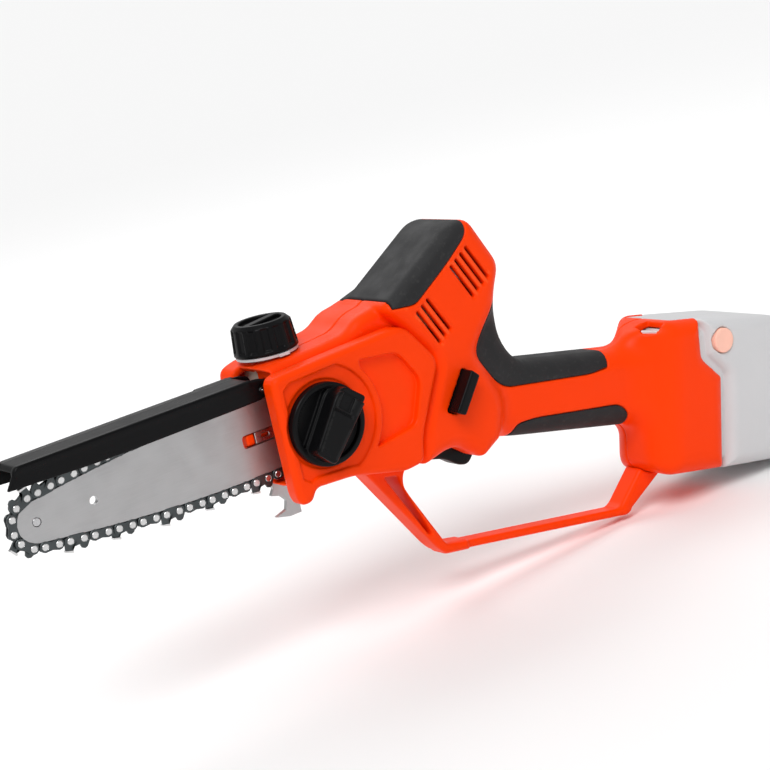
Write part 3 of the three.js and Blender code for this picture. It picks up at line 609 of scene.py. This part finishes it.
def centred(outline, half, edge=0.0, middle_y=SPLIT_Y):
    """A slab that reaches half to either side of the split between the housings, or of another plane."""
    return slab(outline, middle_y - half, middle_y + half, edge)


def bay_room():
    """Room for the pack's tongue and plateau, with a window over each of its hooks."""
    room = centred(area(behind([(183, -58.9), (183, 20.1), (260, 20.1), (260, -58.9)]), 3), 27.1, 6)
    top = centred(area(behind([(192, 10), (192, 40), (260, 40), (260, 10)])), 21, 2)
    window = area(behind([(175, 17.5, 1), (175, 40), (185.5, 40), (185.5, 17.5, 1)]))
    windows = [centred(window, 6.5, 1, SPLIT_Y + side) for side in LATCHES]
    return union(common(union(room, top), bay_corners(WALL)), *windows)


def chain_chamber():
    """Open room for the chain: a lane along the bar and a round end about the drive sprocket."""
    lane = [(-90, -26), (-90, 26.5), (-20, 26.5), (2, CHAMBER_R), (2, -CHAMBER_R), (-20, -26)]
    floor = low("shaft_bearing_front").y - GAP
    return union(slab(area(lane, 2), -OPEN, floor), slab(disc(CHAMBER_R), -OPEN, floor))


def guard_pocket():
    outline = [(-80, 15), (-80, 60), (-63, 60), (-61, 33), (-56.6, 30), (-56.6, 18), (-59, 15)]
    return slab(area(outline, 1), -8.8, 17.2, 1)


def counterbores():
    """Room for each screw's head and shank, from the far side."""
    holes = []
    for name in SCREWS:
        at = middle(name)
        holes.append(slab(disc(SCREW_HEAD_R, at.x, at.z), high(name).y - SCREW_HEAD, OPEN))
        holes.append(slab(disc(SCREW_R, at.x, at.z), low(name).y - 1, OPEN))
    return union(*holes)


def filler_opening(x, y, z):
    return np.maximum(np.hypot(x - CAP_X, y - CAP_Y) - 9, 26 - z)


def housing_body():
    cavity = cut(offset(HULL, -WALL), slab(area(COVER), -OPEN, 6.1))
    recesses = [
        cut(slab(area(zone), -OPEN, OPEN), offset(HULL, -RUBBER - GAP))
        for zone in (MOTOR_CAP, GRIP_TOP, GRIP_BOTTOM)
    ]
    guard_pin, trigger_pin = middle("guard_pin"), middle("trigger_pin")
    shaped = cut(HULL, *recesses, soft=0.7)
    shaped = cut(shaped, slab(area(COVER), -OPEN, COVER_SEAM_Y), guard_pocket(), vents(), soft=1.0)
    return cut(
        shaped, cavity, chain_chamber(), bay_room(), counterbores(), filler_opening,
        slab(disc(PIN_R, guard_pin.x, guard_pin.z), 10, 22.3),
        centred(area(TRIGGER_SLOT), 7.5),
        centred(disc(PIN_R, trigger_pin.x, trigger_pin.z), 15.3),
        slab(area(LOCK_SLOT), -OPEN, OPEN),
        box(-64, -44, SPLIT_Y - 1.6, SPLIT_Y + 1.6, -60, -19),  # the bumper spike's root
        box(*TENSION_ROOM), box(-80, -44, 4.1, 7.9, 9.1, 12.9),  # the tension slider and its screw
        slab(disc(STUD_R, STUD_X), 0, 20),
    )


def half_space(sign, at):
    return lambda x, y, z: sign * (y - at) + 0 * x + 0 * z


def housings():
    """The two shells; the left one also carries the bar's pad, its rib and the shaft bearing's boss."""
    body = housing_body()
    pad = slab(area([(-75, -5), (-75, 5), (-63, 9), (-24, 9), (-24, -9), (-63, -9)], 2), 1.6, 3.5, 0.4)
    rib = box(-74.6, -70, -1.2, 4.5, -2.6, 2.6)
    bearing = slab(disc(BEARING_R), 0, SPLIT_Y)
    boss = cut(slab(disc(12.5), 3, SPLIT_Y - GAP / 2), bearing)
    left = union(common(body, half_space(1, SPLIT_Y - GAP / 2), soft=0.8), pad, rib, boss)
    left = cut(left, bearing, slab(disc(STUD_R, STUD_X), 0, 20), box(*TENSION_ROOM))
    moulded("left_housing", left, ["housing_left"], "frame", "orange_housing", step=1.0)
    right = common(body, half_space(-1, SPLIT_Y + GAP / 2), soft=0.8)
    moulded("right_housing", right, ["housing_right"], "frame", "orange_housing", step=1.0)


def over_mouldings():
    skin = cut(HULL, offset(HULL, -RUBBER))
    for name, zone in (("motor_cap", MOTOR_CAP), ("grip_top", GRIP_TOP), ("grip_bottom", GRIP_BOTTOM)):
        edge = offset(slab(area(zone), -OPEN, OPEN), -GAP)
        moulded(f"rubber_{name}", common(skin, edge, soft=0.8), [name], "frame", "black_rubber", step=0.8)


def hand_guard():
    leg = [
        (-16, -30), (-11, -41), (20.5, -91.5, 8), (25, -96.4, 4), (40, -98.9), (40, -95), (27, -92, 3),
        (11.4, -59.8, 8), (8.4, -52, 5), (10, -46, 4), (20, -38),
    ]
    opening = [(-2.5, -44, 1.5), (6, -46, 1.5), (6.5, -50, 3), (19, -83, 1.5), (17, -83, 1.5)]
    bar = [(26, -96.6), (149, -119.8, 4), (153, -117.8, 4), (149, -115.3, 3), (27, -92.6)]
    rear_leg = [(144.5, -115), (149.5, -119.6, 4), (180, -103), (172, -92), (163.5, -98)]
    loop = union(
        centred(area(leg), 8.5, 2.2), centred(area(bar), 6, 1.6), centred(area(rear_leg), 7, 2.5), soft=3
    )
    loop = cut(loop, slab(area(opening), -OPEN, OPEN), soft=1.5)
    loop = cut(loop, offset(HULL, GAP))
    moulded("finger_guard", loop, ["hand_guard"], "frame", "orange_housing", step=0.8)


# ---------------------------------------------------------------- sprocket cover and knob
KNOB_R = 21.0


def sprocket_cover():
    outline = area(COVER)
    seam = COVER_SEAM_Y - GAP / 2
    outside = slab(outline, COVER_FACE_Y, seam, 3.2)
    inside = slab(lambda x, z: outline(x, z) + 2.5, COVER_FACE_Y + 5, 0)
    boss = slab(disc(13, STUD_X), COVER_FACE_Y + 4.5, -1.8)
    dish, pocket_edge = disc(29.5, STUD_X), disc(33.5, STUD_X)
    round_knob = slab(lambda x, z: np.maximum(outline(x, z) + 5.5, dish(x, z)), -OPEN, COVER_FACE_Y + 1.8)
    pocket_outline = area([(-14, 24.5), (9, 21.5, 5), (19.5, 4, 5), (11, -17.5, 4), (-14, -21)], 1)
    pocket = slab(
        lambda x, z: np.maximum(pocket_outline(x, z), -pocket_edge(x, z)), -OPEN, COVER_FACE_Y + 3.8
    )
    body = union(cut(outside, inside), boss)
    body = cut(body, round_knob, pocket, soft=1.3)
    body = cut(body, slab(disc(KNOB_R + 1.2, STUD_X), -OPEN, COVER_FACE_Y + 2.7), soft=0.8)
    body = cut(body, slab(disc(7, STUD_X), -OPEN, 0))
    moulded("side_cover", body, ["sprocket_cover"], "cover", "orange_housing", step=0.7)


def cover_knob():
    """Round knob with a raised folding wing across it."""
    turn = math.radians(48)
    cos, sin = math.cos(turn), math.sin(turn)

    def local(shape):
        """A shape in the knob's own axes: along the wing and across it."""
        return lambda x, z: shape((x - STUD_X) * cos + z * sin, z * cos - (x - STUD_X) * sin)

    bottom, rim, top = high("cover_knob").y, -25.2, low("cover_knob").y
    wing_shape = local(area([(-18, -7, 3), (-17.5, 6, 3), (13, 9, 3), (19, 5, 2), (19.5, -8.5, 2)]))
    body = union(
        slab(disc(KNOB_R, STUD_X), rim, -19.8, 1.2),
        slab(disc(6.6, STUD_X), -20.5, bottom),
    )
    well = lambda x, z: np.maximum(np.hypot(x - STUD_X, z) - 17.8, 1.2 - wing_shape(x, z))
    body = cut(body, slab(well, -OPEN, rim + 2.6), soft=0.8)
    wing = slab(wing_shape, top, rim + 3, 1.6)
    notch = slab(local(area([(8, -2), (8, 5.5), (15.5, 5.5), (15.5, -2)], 0.6)), -OPEN, top + 1.6)
    step = slab(local(area([(15.8, -12), (15.8, 12), (30, 12), (30, -12)])), -OPEN, top + 2.4)
    hinge = slab(local(area([(6.2, -4), (6.2, 7), (7, 7), (7, -4)])), -OPEN, top + 0.8)
    wing = cut(wing, notch, step, hinge, soft=0.6)
    slot = slab(local(area([(-9, -13.5), (-9, -12.3), (5, -12.3), (5, -13.5)], 0.5)), -OPEN, rim + 4)
    knob = cut(union(body, wing), slot, slab(disc(5.2, STUD_X), -19, 0))
    moulded("clamping_knob", knob, ["cover_knob"], "knob", "black_plastic", step=0.5)


# ---------------------------------------------------------------- oil cap
def oil_cap():
    bottom, top = low("oil_cap").z, high("oil_cap").z
    ribs = 14
    bar_turn = math.radians(20)

    def field(x, y, z):
        dx, dy = x - CAP_X, y - CAP_Y
        out, angle = np.hypot(dx, dy), np.arctan2(dy, dx)
        wall = 16.6 - 1.4 * (z - bottom) / (top - bottom)
        grip = 0.55 * np.tanh(4 * (np.cos(ribs * angle) - 0.2)) - 0.5
        grip = grip * np.clip((z - bottom - 1.6) / 1.0, 0, 1) * np.clip((top - 1.6 - z) / 1.2, 0, 1)
        side = out - wall - np.minimum(grip, 0)
        chamfer = (out - 13.6 + (z - (top - 0.4))) / math.sqrt(2)
        body = np.maximum(np.maximum(side, chamfer), np.maximum(z - top, bottom - z))
        across = np.abs(-dx * math.sin(bar_turn) + dy * math.cos(bar_turn))
        moons = np.maximum(np.maximum(out - 11, 2.3 - across), top - 2.2 - z)
        hollow = np.maximum(out - 9, z - (top - 4))
        return np.maximum(-soft_min(-body, moons, 0.8), -hollow)

    moulded("filler_cap", field, ["oil_cap"], "filler_cap", "black_plastic", step=0.5)


# ---------------------------------------------------------------- chain guard
def chain_guard():
    near, far, plate = low("chain_guard").y, 12.5, 2.8
    px, pz = pivot("guard_lift").x, pivot("guard_lift").z
    side = [
        (-202.5, 19.5), (-196, 29.5, 2), (-69, 30), (px - 1, pz + 5.2, 3), (px + 4, pz + 3.4, 3),
        (px + 4.6, pz - 3, 3), (px - 1, pz - 5.4, 3), (-75, 18.7), (-150, 17.7, 20),
    ]
    top = [(-197.9, 26.6), (-196, 29.5, 2), (-69, 30), (-69, 27.1), (-150, 26.6)]
    root = [(-91, 27.1), (-88, 29.9), (-69, 30), (-69, 27.1)]
    body = union(
        slab(area(side), near, near + plate, 1), slab(area(top), near, far, 1.2),
        slab(area(side), far - plate, far, 1), slab(area(root), 10, 16, 1), soft=1.5,
    )
    body = cut(body, slab(disc(PIN_R, px, pz), -20, 20))
    moulded("bar_hood", body, ["chain_guard"], "guard", "black_plastic", step=0.6)


# ---------------------------------------------------------------- battery
def battery():
    low_y, high_y = low("battery_pack").y, high("battery_pack").y
    outer = behind([
        (BUTTON_NOTCH + GAP + 1, 23.5, 2), (262, 22.6, 12), (280, 18, 12), (295.7, 5, 10), (295.7, -52, 8),
        (284, -61.5, 8), (BAY_REAR + GAP, -62.4, 1), (BAY_REAR + GAP, -9, 2), (BUTTON_NOTCH + 3, 2.6, 2),
    ])
    tongue = behind([(184, -58.4), (184, 19.6), (230, 19.6), (230, -58.4)])
    plateau = behind([(192.5, 12), (192.5, 23.5), (240, 23.2), (240, 12)])
    hook = behind([(176.5, 12), (176.5, 19), (190, 19), (190, 12)])
    groove = slab(area(behind([(262, -59), (262, 19), (263, 19), (263, -59)])), -OPEN, OPEN)
    shell = slab(area(outer), low_y, high_y, 8)
    shell = cut(shell, common(groove, lambda x, y, z: -(shell_depth(x, y, z) + 0.6)), soft=0.6)
    body = union(
        shell, centred(area(tongue, 2), 26.8, 6), centred(area(plateau, 1), 20.6, 2),
        *[centred(area(hook, 1), 6, 1, SPLIT_Y + side) for side in LATCHES],
    )
    button, corners = disc(BUTTON_R + 0.4, BUTTON_X, BUTTON_Z), bay_corners(WALL + GAP)
    body = cut(
        body, slab(button, low_y - 5, low_y + 7), slab(button, high_y - 7, high_y + 5),
        lambda x, y, z: -corners(x, y, z),
    )
    moulded("battery_shell", body, ["battery_pack"], "battery", "pale_plastic", step=0.9)


def shell_depth(x, y, z):
    """Distance to the battery shell's outer skin, used to keep its groove shallow."""
    a, b = handle_frame(x, z)
    side = np.maximum(low("battery_pack").y - y, y - high("battery_pack").y)
    return np.maximum(np.maximum(side, b - 22.6), -62 - b)


def ball(radius, cx, cy, cz):
    return lambda x, y, z: np.sqrt((x - cx) ** 2 + (y - cy) ** 2 + (z - cz) ** 2) - radius


def buttons():
    """The pack's two round release buttons, each dished by a ball that sinks 0.4 mm into its face."""
    dish_r, dish_depth = 16, 0.4
    for side in ("left", "right"):
        node = f"battery_button_{side}"
        y0, y1 = low(node).y, high(node).y
        dish_y = y0 - (dish_r - dish_depth) if side == "left" else y1 + (dish_r - dish_depth)
        body = slab(disc(BUTTON_R, BUTTON_X, BUTTON_Z), y0, y1, 0.9)
        body = cut(body, ball(dish_r, BUTTON_X, dish_y, BUTTON_Z), soft=0.6)
        moulded(f"release_button_{side}", body, [node], f"release_{side}", "pink_button", step=0.4)


# ---------------------------------------------------------------- trigger and lock-off button
def trigger():
    lever = [
        (22.5, -33, 3), (30, -32, 3), (50, -33, 3), (56.5, -44, 3), (57, -51.5, 3), (52, -56, 3),
        (46.5, -54.6, 4), (38, -48, 6), (28, -45.5, 4), (22, -40, 4),
    ]
    pin, spring = middle("trigger_pin"), middle("trigger_spring")
    well = lambda x, y, z: np.maximum(np.hypot(x - spring.x, y - spring.y) - 2.8, -40 - z)
    body = cut(centred(area(lever), 6.4, 2.4), slab(disc(PIN_R, pin.x, pin.z), -20, 40), well)
    moulded("trigger_lever_piece", body, ["trigger"], "trigger_lever", "black_plastic", step=0.5)


def lock_off_button():
    near, far = low("lock_off_button").y, high("lock_off_button").y
    outline = area(LOCK_SLOT, 1.5)
    shape = lambda x, z: outline(x, z) + 0.5
    core = slab(disc(4, 41.5, -10.5), -14, 18)
    body = union(slab(shape, near, -13, 1.2), slab(shape, 17, far, 1.2), core)
    moulded("lock_button", body, ["lock_off_button"], "lock_off", "black_plastic", step=0.5)


# ---------------------------------------------------------------- chain
PITCH_R = 16.2  # rivets' radius about the drive sprocket
NOSE_R = 12.5  # and about the nose
DRIVE_LINKS = 37
PITCH = 12.7  # nominal, for two rivets
LINK_SPAN = 5.7  # between the two rivets of one drive link
LINK_HALF = 0.55  # half a drive link's thickness
STRAP_IN, STRAP_OUT = 0.65, 1.8  # a side strap's faces, from the chain's middle plane
RIVET_IN, RIVET_OUT = 1.75, 2.15  # and a rivet head's
RIVET_R = 1.75
STRAP_R, STRAP_WAIST = 2.75, 2.1


def rivet_line():
    """Closed path of the chain's rivets, as many close points."""
    rise, fall, reach = math.radians(8), math.radians(7), 70.0
    start = np.array([NOSE_X - NOSE_R * math.sin(rise), NOSE_R * math.cos(rise)])
    end = np.array([PITCH_R * math.sin(fall), PITCH_R * math.cos(fall)])
    lead = start + reach * np.array([math.cos(rise), math.sin(rise)])
    trail = end + reach * np.array([-math.cos(fall), math.sin(fall)])
    t = np.linspace(0, 1, 400)[:, None]
    upper = (1 - t) ** 3 * start + 3 * t * (1 - t) ** 2 * lead + 3 * t * t * (1 - t) * trail + t**3 * end
    around = np.linspace(math.pi / 2 - fall, fall - math.pi / 2, 120)[1:-1]
    drive = np.stack([PITCH_R * np.cos(around), PITCH_R * np.sin(around)], 1)
    around = np.linspace(-math.pi / 2 - rise, rise - 3 * math.pi / 2, 120)[1:-1]
    nose = np.stack([NOSE_X + NOSE_R * np.cos(around), NOSE_R * np.sin(around)], 1)
    return np.concatenate([upper, drive, upper[::-1] * [1, -1], nose])


def rivet_points():
    """Two rivets to each drive link, at alternating distances along the line."""
    path = rivet_line()
    path = np.concatenate([path, path[:1]])
    length = np.concatenate([[0], np.cumsum(np.linalg.norm(np.diff(path, axis=0), axis=1))])
    pitch = length[-1] / DRIVE_LINKS
    across_link = pitch * LINK_SPAN / PITCH
    stations = [pitch * i + part for i in range(DRIVE_LINKS) for part in (0, across_link)]
    return np.stack([np.interp(stations, length, path[:, i]) for i in range(2)], 1)


def capsule(length, radius, waist, sides=7):
    """Outline of a side strap: two round ends about rivets at 0 and length, drawn in at the waist."""
    turn = np.linspace(math.pi / 2, 3 * math.pi / 2, sides)
    left = np.stack([radius * np.cos(turn), radius * np.sin(turn)], 1)
    right = np.stack([length - radius * np.cos(turn), -radius * np.sin(turn)], 1)
    return np.concatenate([left, [[length / 2, -waist]], right, [[length / 2, waist]]])


def plate(outline, y0, y1, bevel=0.18, centre=None):
    """A stamped plate in its own axes: outline in X and Z seen whole from its centre, with a small bevel."""
    outline = np.asarray(outline, float)
    centre = (outline.min(0) + outline.max(0)) / 2 if centre is None else np.array(centre, float)
    direction = outline - centre
    inset = outline - direction / np.linalg.norm(direction, axis=1)[:, None] * bevel
    rings = [(inset, y0), (outline, y0 + bevel), (outline, y1 - bevel), (inset, y1)]
    n = len(outline)
    points = np.concatenate([np.insert(ring, 1, y, axis=1) for ring, y in rings])
    points = np.concatenate([points, [[centre[0], y0, centre[1]], [centre[0], y1, centre[1]]]])
    triangles = []
    for level in range(len(rings) - 1):
        for i in range(n):
            a, b = level * n + i, level * n + (i + 1) % n
            triangles += [(a, b, b + n), (a, b + n, a + n)]
    first, last = len(rings) * n, len(rings) * n + 1
    for i in range(n):
        triangles.append((first, (i + 1) % n, i))
        triangles.append((last, (len(rings) - 1) * n + i, (len(rings) - 1) * n + (i + 1) % n))
    return points, np.array(triangles)


def laid(part, start, direction):
    """A part in a link's own axes, laid at start along direction."""
    points, faces = part
    cos, sin = direction
    x, z = points[:, 0], points[:, 2]
    return np.stack([start[0] + x * cos - z * sin, points[:, 1], start[1] + x * sin + z * cos], 1), faces


def merged(parts):
    points, faces, total = [], [], 0
    for p, f in parts:
        points.append(p)
        faces.append(np.asarray(f) + total)
        total += len(p)
    return np.concatenate(points), np.concatenate(faces)


def rivet_head(y0, y1):
    turn = np.linspace(0, 2 * math.pi, 16, endpoint=False)
    return plate(np.stack([RIVET_R * np.cos(turn), RIVET_R * np.sin(turn)], 1), y0, y1, 0.3)


def cutter_plate(length):
    """Side plate of a cutter with its depth gauge at one end and its tooth's root at the other."""
    return [
        (-2.9, -1.5), (0, -2.8), (length, -2.8), (length + 2.9, -1.4), (length + 3.1, 4.2),
        (length - 0.6, 4.9), (length - 0.2, 3.2), (2.4, 2.4), (1.5, 4.4), (0, 4.9), (-1.4, 4.2), (-2.9, 1.4),
    ]


def tooth_plate(length):
    """Top plate of a cutter, seen from the side."""
    return [(length - 0.9, 4.6), (length + 3.2, 4.1), (length + 3.2, 4.9), (length - 0.9, 5.7)]


def drive_link_plate(length):
    """A drive link with its tang, which runs in the bar's groove."""
    middle_x = length / 2
    return [
        (-1.2, 1.5), (-2.1, 0), (-1.6, -2.2), (middle_x - 1.2, -5.6), (middle_x + 1.2, -5.6),
        (length + 1.6, -2.2), (length + 2.1, 0), (length + 1.2, 1.5),
    ]


def chain():
    """Drive links and pairs of side straps in turn.

    Of every four pairs, the first has a cutter on the near side and the third one on the far side.
    """
    rivets = rivet_points()
    straps, heads, links, cutters, teeth = [], [], [], [], []
    count = len(rivets)
    for i in range(count):
        a, b = rivets[i], rivets[(i + 1) % count]
        gap = b - a
        length = float(np.linalg.norm(gap))
        direction = gap / length
        centre = (length / 2, 0)
        for side in (-1, 1):
            y0, y1 = sorted((side * RIVET_IN, side * RIVET_OUT))
            heads.append(laid(rivet_head(y0, y1), a, direction))
        if i % 2 == 0:
            link = plate(drive_link_plate(length), -LINK_HALF, LINK_HALF, 0.12, centre)
            links.append(laid(link, a, direction))
            continue
        cutter_side = {0: -1, 2: 1}.get((i // 2) % 4)
        for side in (-1, 1):
            y0, y1 = sorted((side * STRAP_IN, side * STRAP_OUT))
            if side == cutter_side:
                cutters.append(laid(plate(cutter_plate(length), y0, y1, 0.15, centre), a, direction))
                t0, t1 = sorted((side * 2.1, -side * 0.6))
                teeth.append(laid(plate(tooth_plate(length), t0, t1, 0.12), a, direction))
            else:
                strap = plate(capsule(length, STRAP_R, STRAP_WAIST), y0, y1)
                straps.append(laid(strap, a, direction))
    for name, parts, slot in (
        ("chain_side_straps", straps, "chain_steel"), ("chain_rivets", heads, "rivet_steel"),
        ("chain_drive_links", links, "chain_steel"), ("chain_cutters", cutters, "chain_steel"),
        ("chain_teeth", teeth, "rivet_steel"),
    ):
        piece = mesh_object(name, *merged(parts))
        piece.data.materials.append(MATERIALS[slot])
        piece.data.shade_flat()
        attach(piece, "bar_set")
        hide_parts("saw_chain")


def bar_tail_plate():
    """Steel plate in the bar's tail slot, with a short slot through it."""
    plain = slab(area([(-69.6, -2.9), (-69.6, 2.9), (-50, 2.9), (-50, -2.9)], 0.4), -0.9, 0.9, 0.25)
    hole = slab(area([(-66, -0.9), (-66, 0.9), (-61.5, 0.9), (-61.5, -0.9)], 0.4), -3, 3)
    piece = mesh_object("bar_tail_plate", *surface_of(cut(plain, hole), (-71, -2, -4), (-49, 2, 4), 0.3))
    piece.data.materials.append(MATERIALS["steel"])
    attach(piece, "bar_set")


# ---------------------------------------------------------------- CAD nodes that stay
WELD = 1e-6  # metres
SHARP_ANGLE, BEVEL_ANGLE = math.radians(32), math.radians(35)
BEVEL_MAX, BEVEL_SHARE = 0.35, 0.12  # widest bevel, and its share of a thin piece's thickness


def smoothing_group():
    """Geometry nodes: drops split normals, welds the facets and marks only real edges as sharp."""
    group = bpy.data.node_groups.new("facet_smoothing", "GeometryNodeTree")
    group.interface.new_socket("Geometry", in_out="INPUT", socket_type="NodeSocketGeometry")
    group.interface.new_socket("Geometry", in_out="OUTPUT", socket_type="NodeSocketGeometry")
    new, link = group.nodes.new, group.links.new
    source, target = new("NodeGroupInput"), new("NodeGroupOutput")
    remove = new("GeometryNodeRemoveAttribute")
    remove.inputs["Name"].default_value = "custom_normal"
    weld = new("GeometryNodeMergeByDistance")
    weld.inputs["Distance"].default_value = WELD
    smooth = new("GeometryNodeSetShadeSmooth")
    sharp = new("GeometryNodeSetShadeSmooth")
    sharp.domain = "EDGE"
    sharp.inputs["Shade Smooth"].default_value = False
    angle = new("GeometryNodeInputMeshEdgeAngle")
    compare = new("FunctionNodeCompare")
    compare.inputs[1].default_value = SHARP_ANGLE
    link(source.outputs[0], remove.inputs[0])
    link(remove.outputs[0], weld.inputs[0])
    link(weld.outputs[0], smooth.inputs[0])
    link(smooth.outputs[0], sharp.inputs[0])
    link(angle.outputs["Unsigned Angle"], compare.inputs[0])
    link(compare.outputs[0], sharp.inputs["Selection"])
    link(sharp.outputs[0], target.inputs[0])
    return group


def carry_over():
    slots = {row["node"]: row["material_slot"] for row in frame["record"]["subparts"]}
    group = smoothing_group()
    for name, node in frame["nodes"].items():
        if node.hide_render:
            continue
        node.data.materials.clear()
        node.data.materials.append(MATERIALS[slots[name]])
        facets = node.modifiers.new("facets", "NODES")
        facets.node_group = group
        size = min(high(name) - low(name))
        bevel = node.modifiers.new("soft_edges", "BEVEL")
        bevel.width = min(BEVEL_MAX, size * BEVEL_SHARE) * MM
        bevel.segments = 2
        bevel.limit_method = "ANGLE"
        bevel.angle_limit = BEVEL_ANGLE


# ---------------------------------------------------------------- stage
FLOOR_DROP = 0.002  # metres from the saw's lowest point to the floor
FLOOR_HALF = 60.0
WORLD_LIGHT, WORLD_SEEN = 0.46, 0.93  # the pale surroundings, as light and as the camera sees them
LAMP_AIM = Vector((0.04, 0, 0))


def pale_floor():
    z = cad_box[0][2] - FLOOR_DROP
    corners = [(x * FLOOR_HALF, y * FLOOR_HALF, z) for x, y in ((-1, -1), (1, -1), (1, 1), (-1, 1))]
    mesh = bpy.data.meshes.new("floor")
    mesh.from_pydata(corners, [], [(0, 1, 2, 3)])
    floor = bpy.data.objects.new("floor", mesh)
    material = bpy.data.materials.new("pale_floor")
    material.use_nodes = True
    base = next(n for n in material.node_tree.nodes if n.type == "BSDF_PRINCIPLED")
    base.inputs["Base Color"].default_value = (0.93, 0.93, 0.93, 1)
    base.inputs["Roughness"].default_value = 0.9
    base.inputs["Specular IOR Level"].default_value = 0.0
    mesh.materials.append(material)
    bpy.context.scene.collection.objects.link(floor)


def surroundings():
    world = bpy.data.worlds.new("studio")
    world.use_nodes = True
    tree = world.node_tree
    background = tree.nodes["Background"]
    path = tree.nodes.new("ShaderNodeLightPath")
    level = tree.nodes.new("ShaderNodeMapRange")
    level.inputs["To Min"].default_value = WORLD_LIGHT
    level.inputs["To Max"].default_value = WORLD_SEEN
    tree.links.new(path.outputs["Is Camera Ray"], level.inputs["Value"])
    tree.links.new(level.outputs[0], background.inputs["Strength"])
    background.inputs["Color"].default_value = (1, 1, 1, 1)
    bpy.context.scene.world = world


def aimed(data, place):
    """A lamp at place, turned to the saw."""
    lamp = bpy.data.objects.new(data.name, data)
    lamp.location = place
    lamp.rotation_euler = (LAMP_AIM - Vector(place)).to_track_quat("-Z", "Y").to_euler()
    bpy.context.scene.collection.objects.link(lamp)


def lamps():
    for name, place, strength, angle in (
        ("key_sun", (-0.7, -0.8, 1.3), 1.7, 30), ("rear_sun", (0.6, 1.0, 1.6), 0.5, 60),
    ):
        sun = bpy.data.lights.new(name, "SUN")
        sun.energy = strength
        sun.angle = math.radians(angle)
        aimed(sun, place)
    softbox = bpy.data.lights.new("softbox", "AREA")
    softbox.size = 0.9
    softbox.energy = 5
    aimed(softbox, (0.15, 0.9, 1.1))


def camera():
    """The viewing angle: round to the front and above the bar's level, with the camera tilted to one side."""
    azimuth, elevation, tilt = math.radians(31.8), math.radians(13.5), math.radians(-12.6)
    aim, distance = SPROCKET + MM * Vector((11.0, 0, 1.7)), 1.0369
    data = bpy.data.cameras.new("camera")
    data.sensor_width = 36
    data.lens = 94.58
    data.clip_start = 0.01
    view = bpy.data.objects.new("camera", data)
    turned = Matrix.Rotation(-azimuth, 4, "Z") @ Matrix.Rotation(math.pi / 2 - elevation, 4, "X")
    turned = turned @ Matrix.Rotation(tilt, 4, "Z")
    turned.translation = aim + distance * turned.col[2].to_3d()
    view.matrix_world = turned
    bpy.context.scene.collection.objects.link(view)
    bpy.context.scene.camera = view
    bpy.context.scene.view_settings.view_transform = "Standard"


housings()
over_mouldings()
hand_guard()
sprocket_cover()
cover_knob()
oil_cap()
chain_guard()
battery()
buttons()
trigger()
lock_off_button()
chain()
bar_tail_plate()
carry_over()
pale_floor()
surroundings()
lamps()
camera()
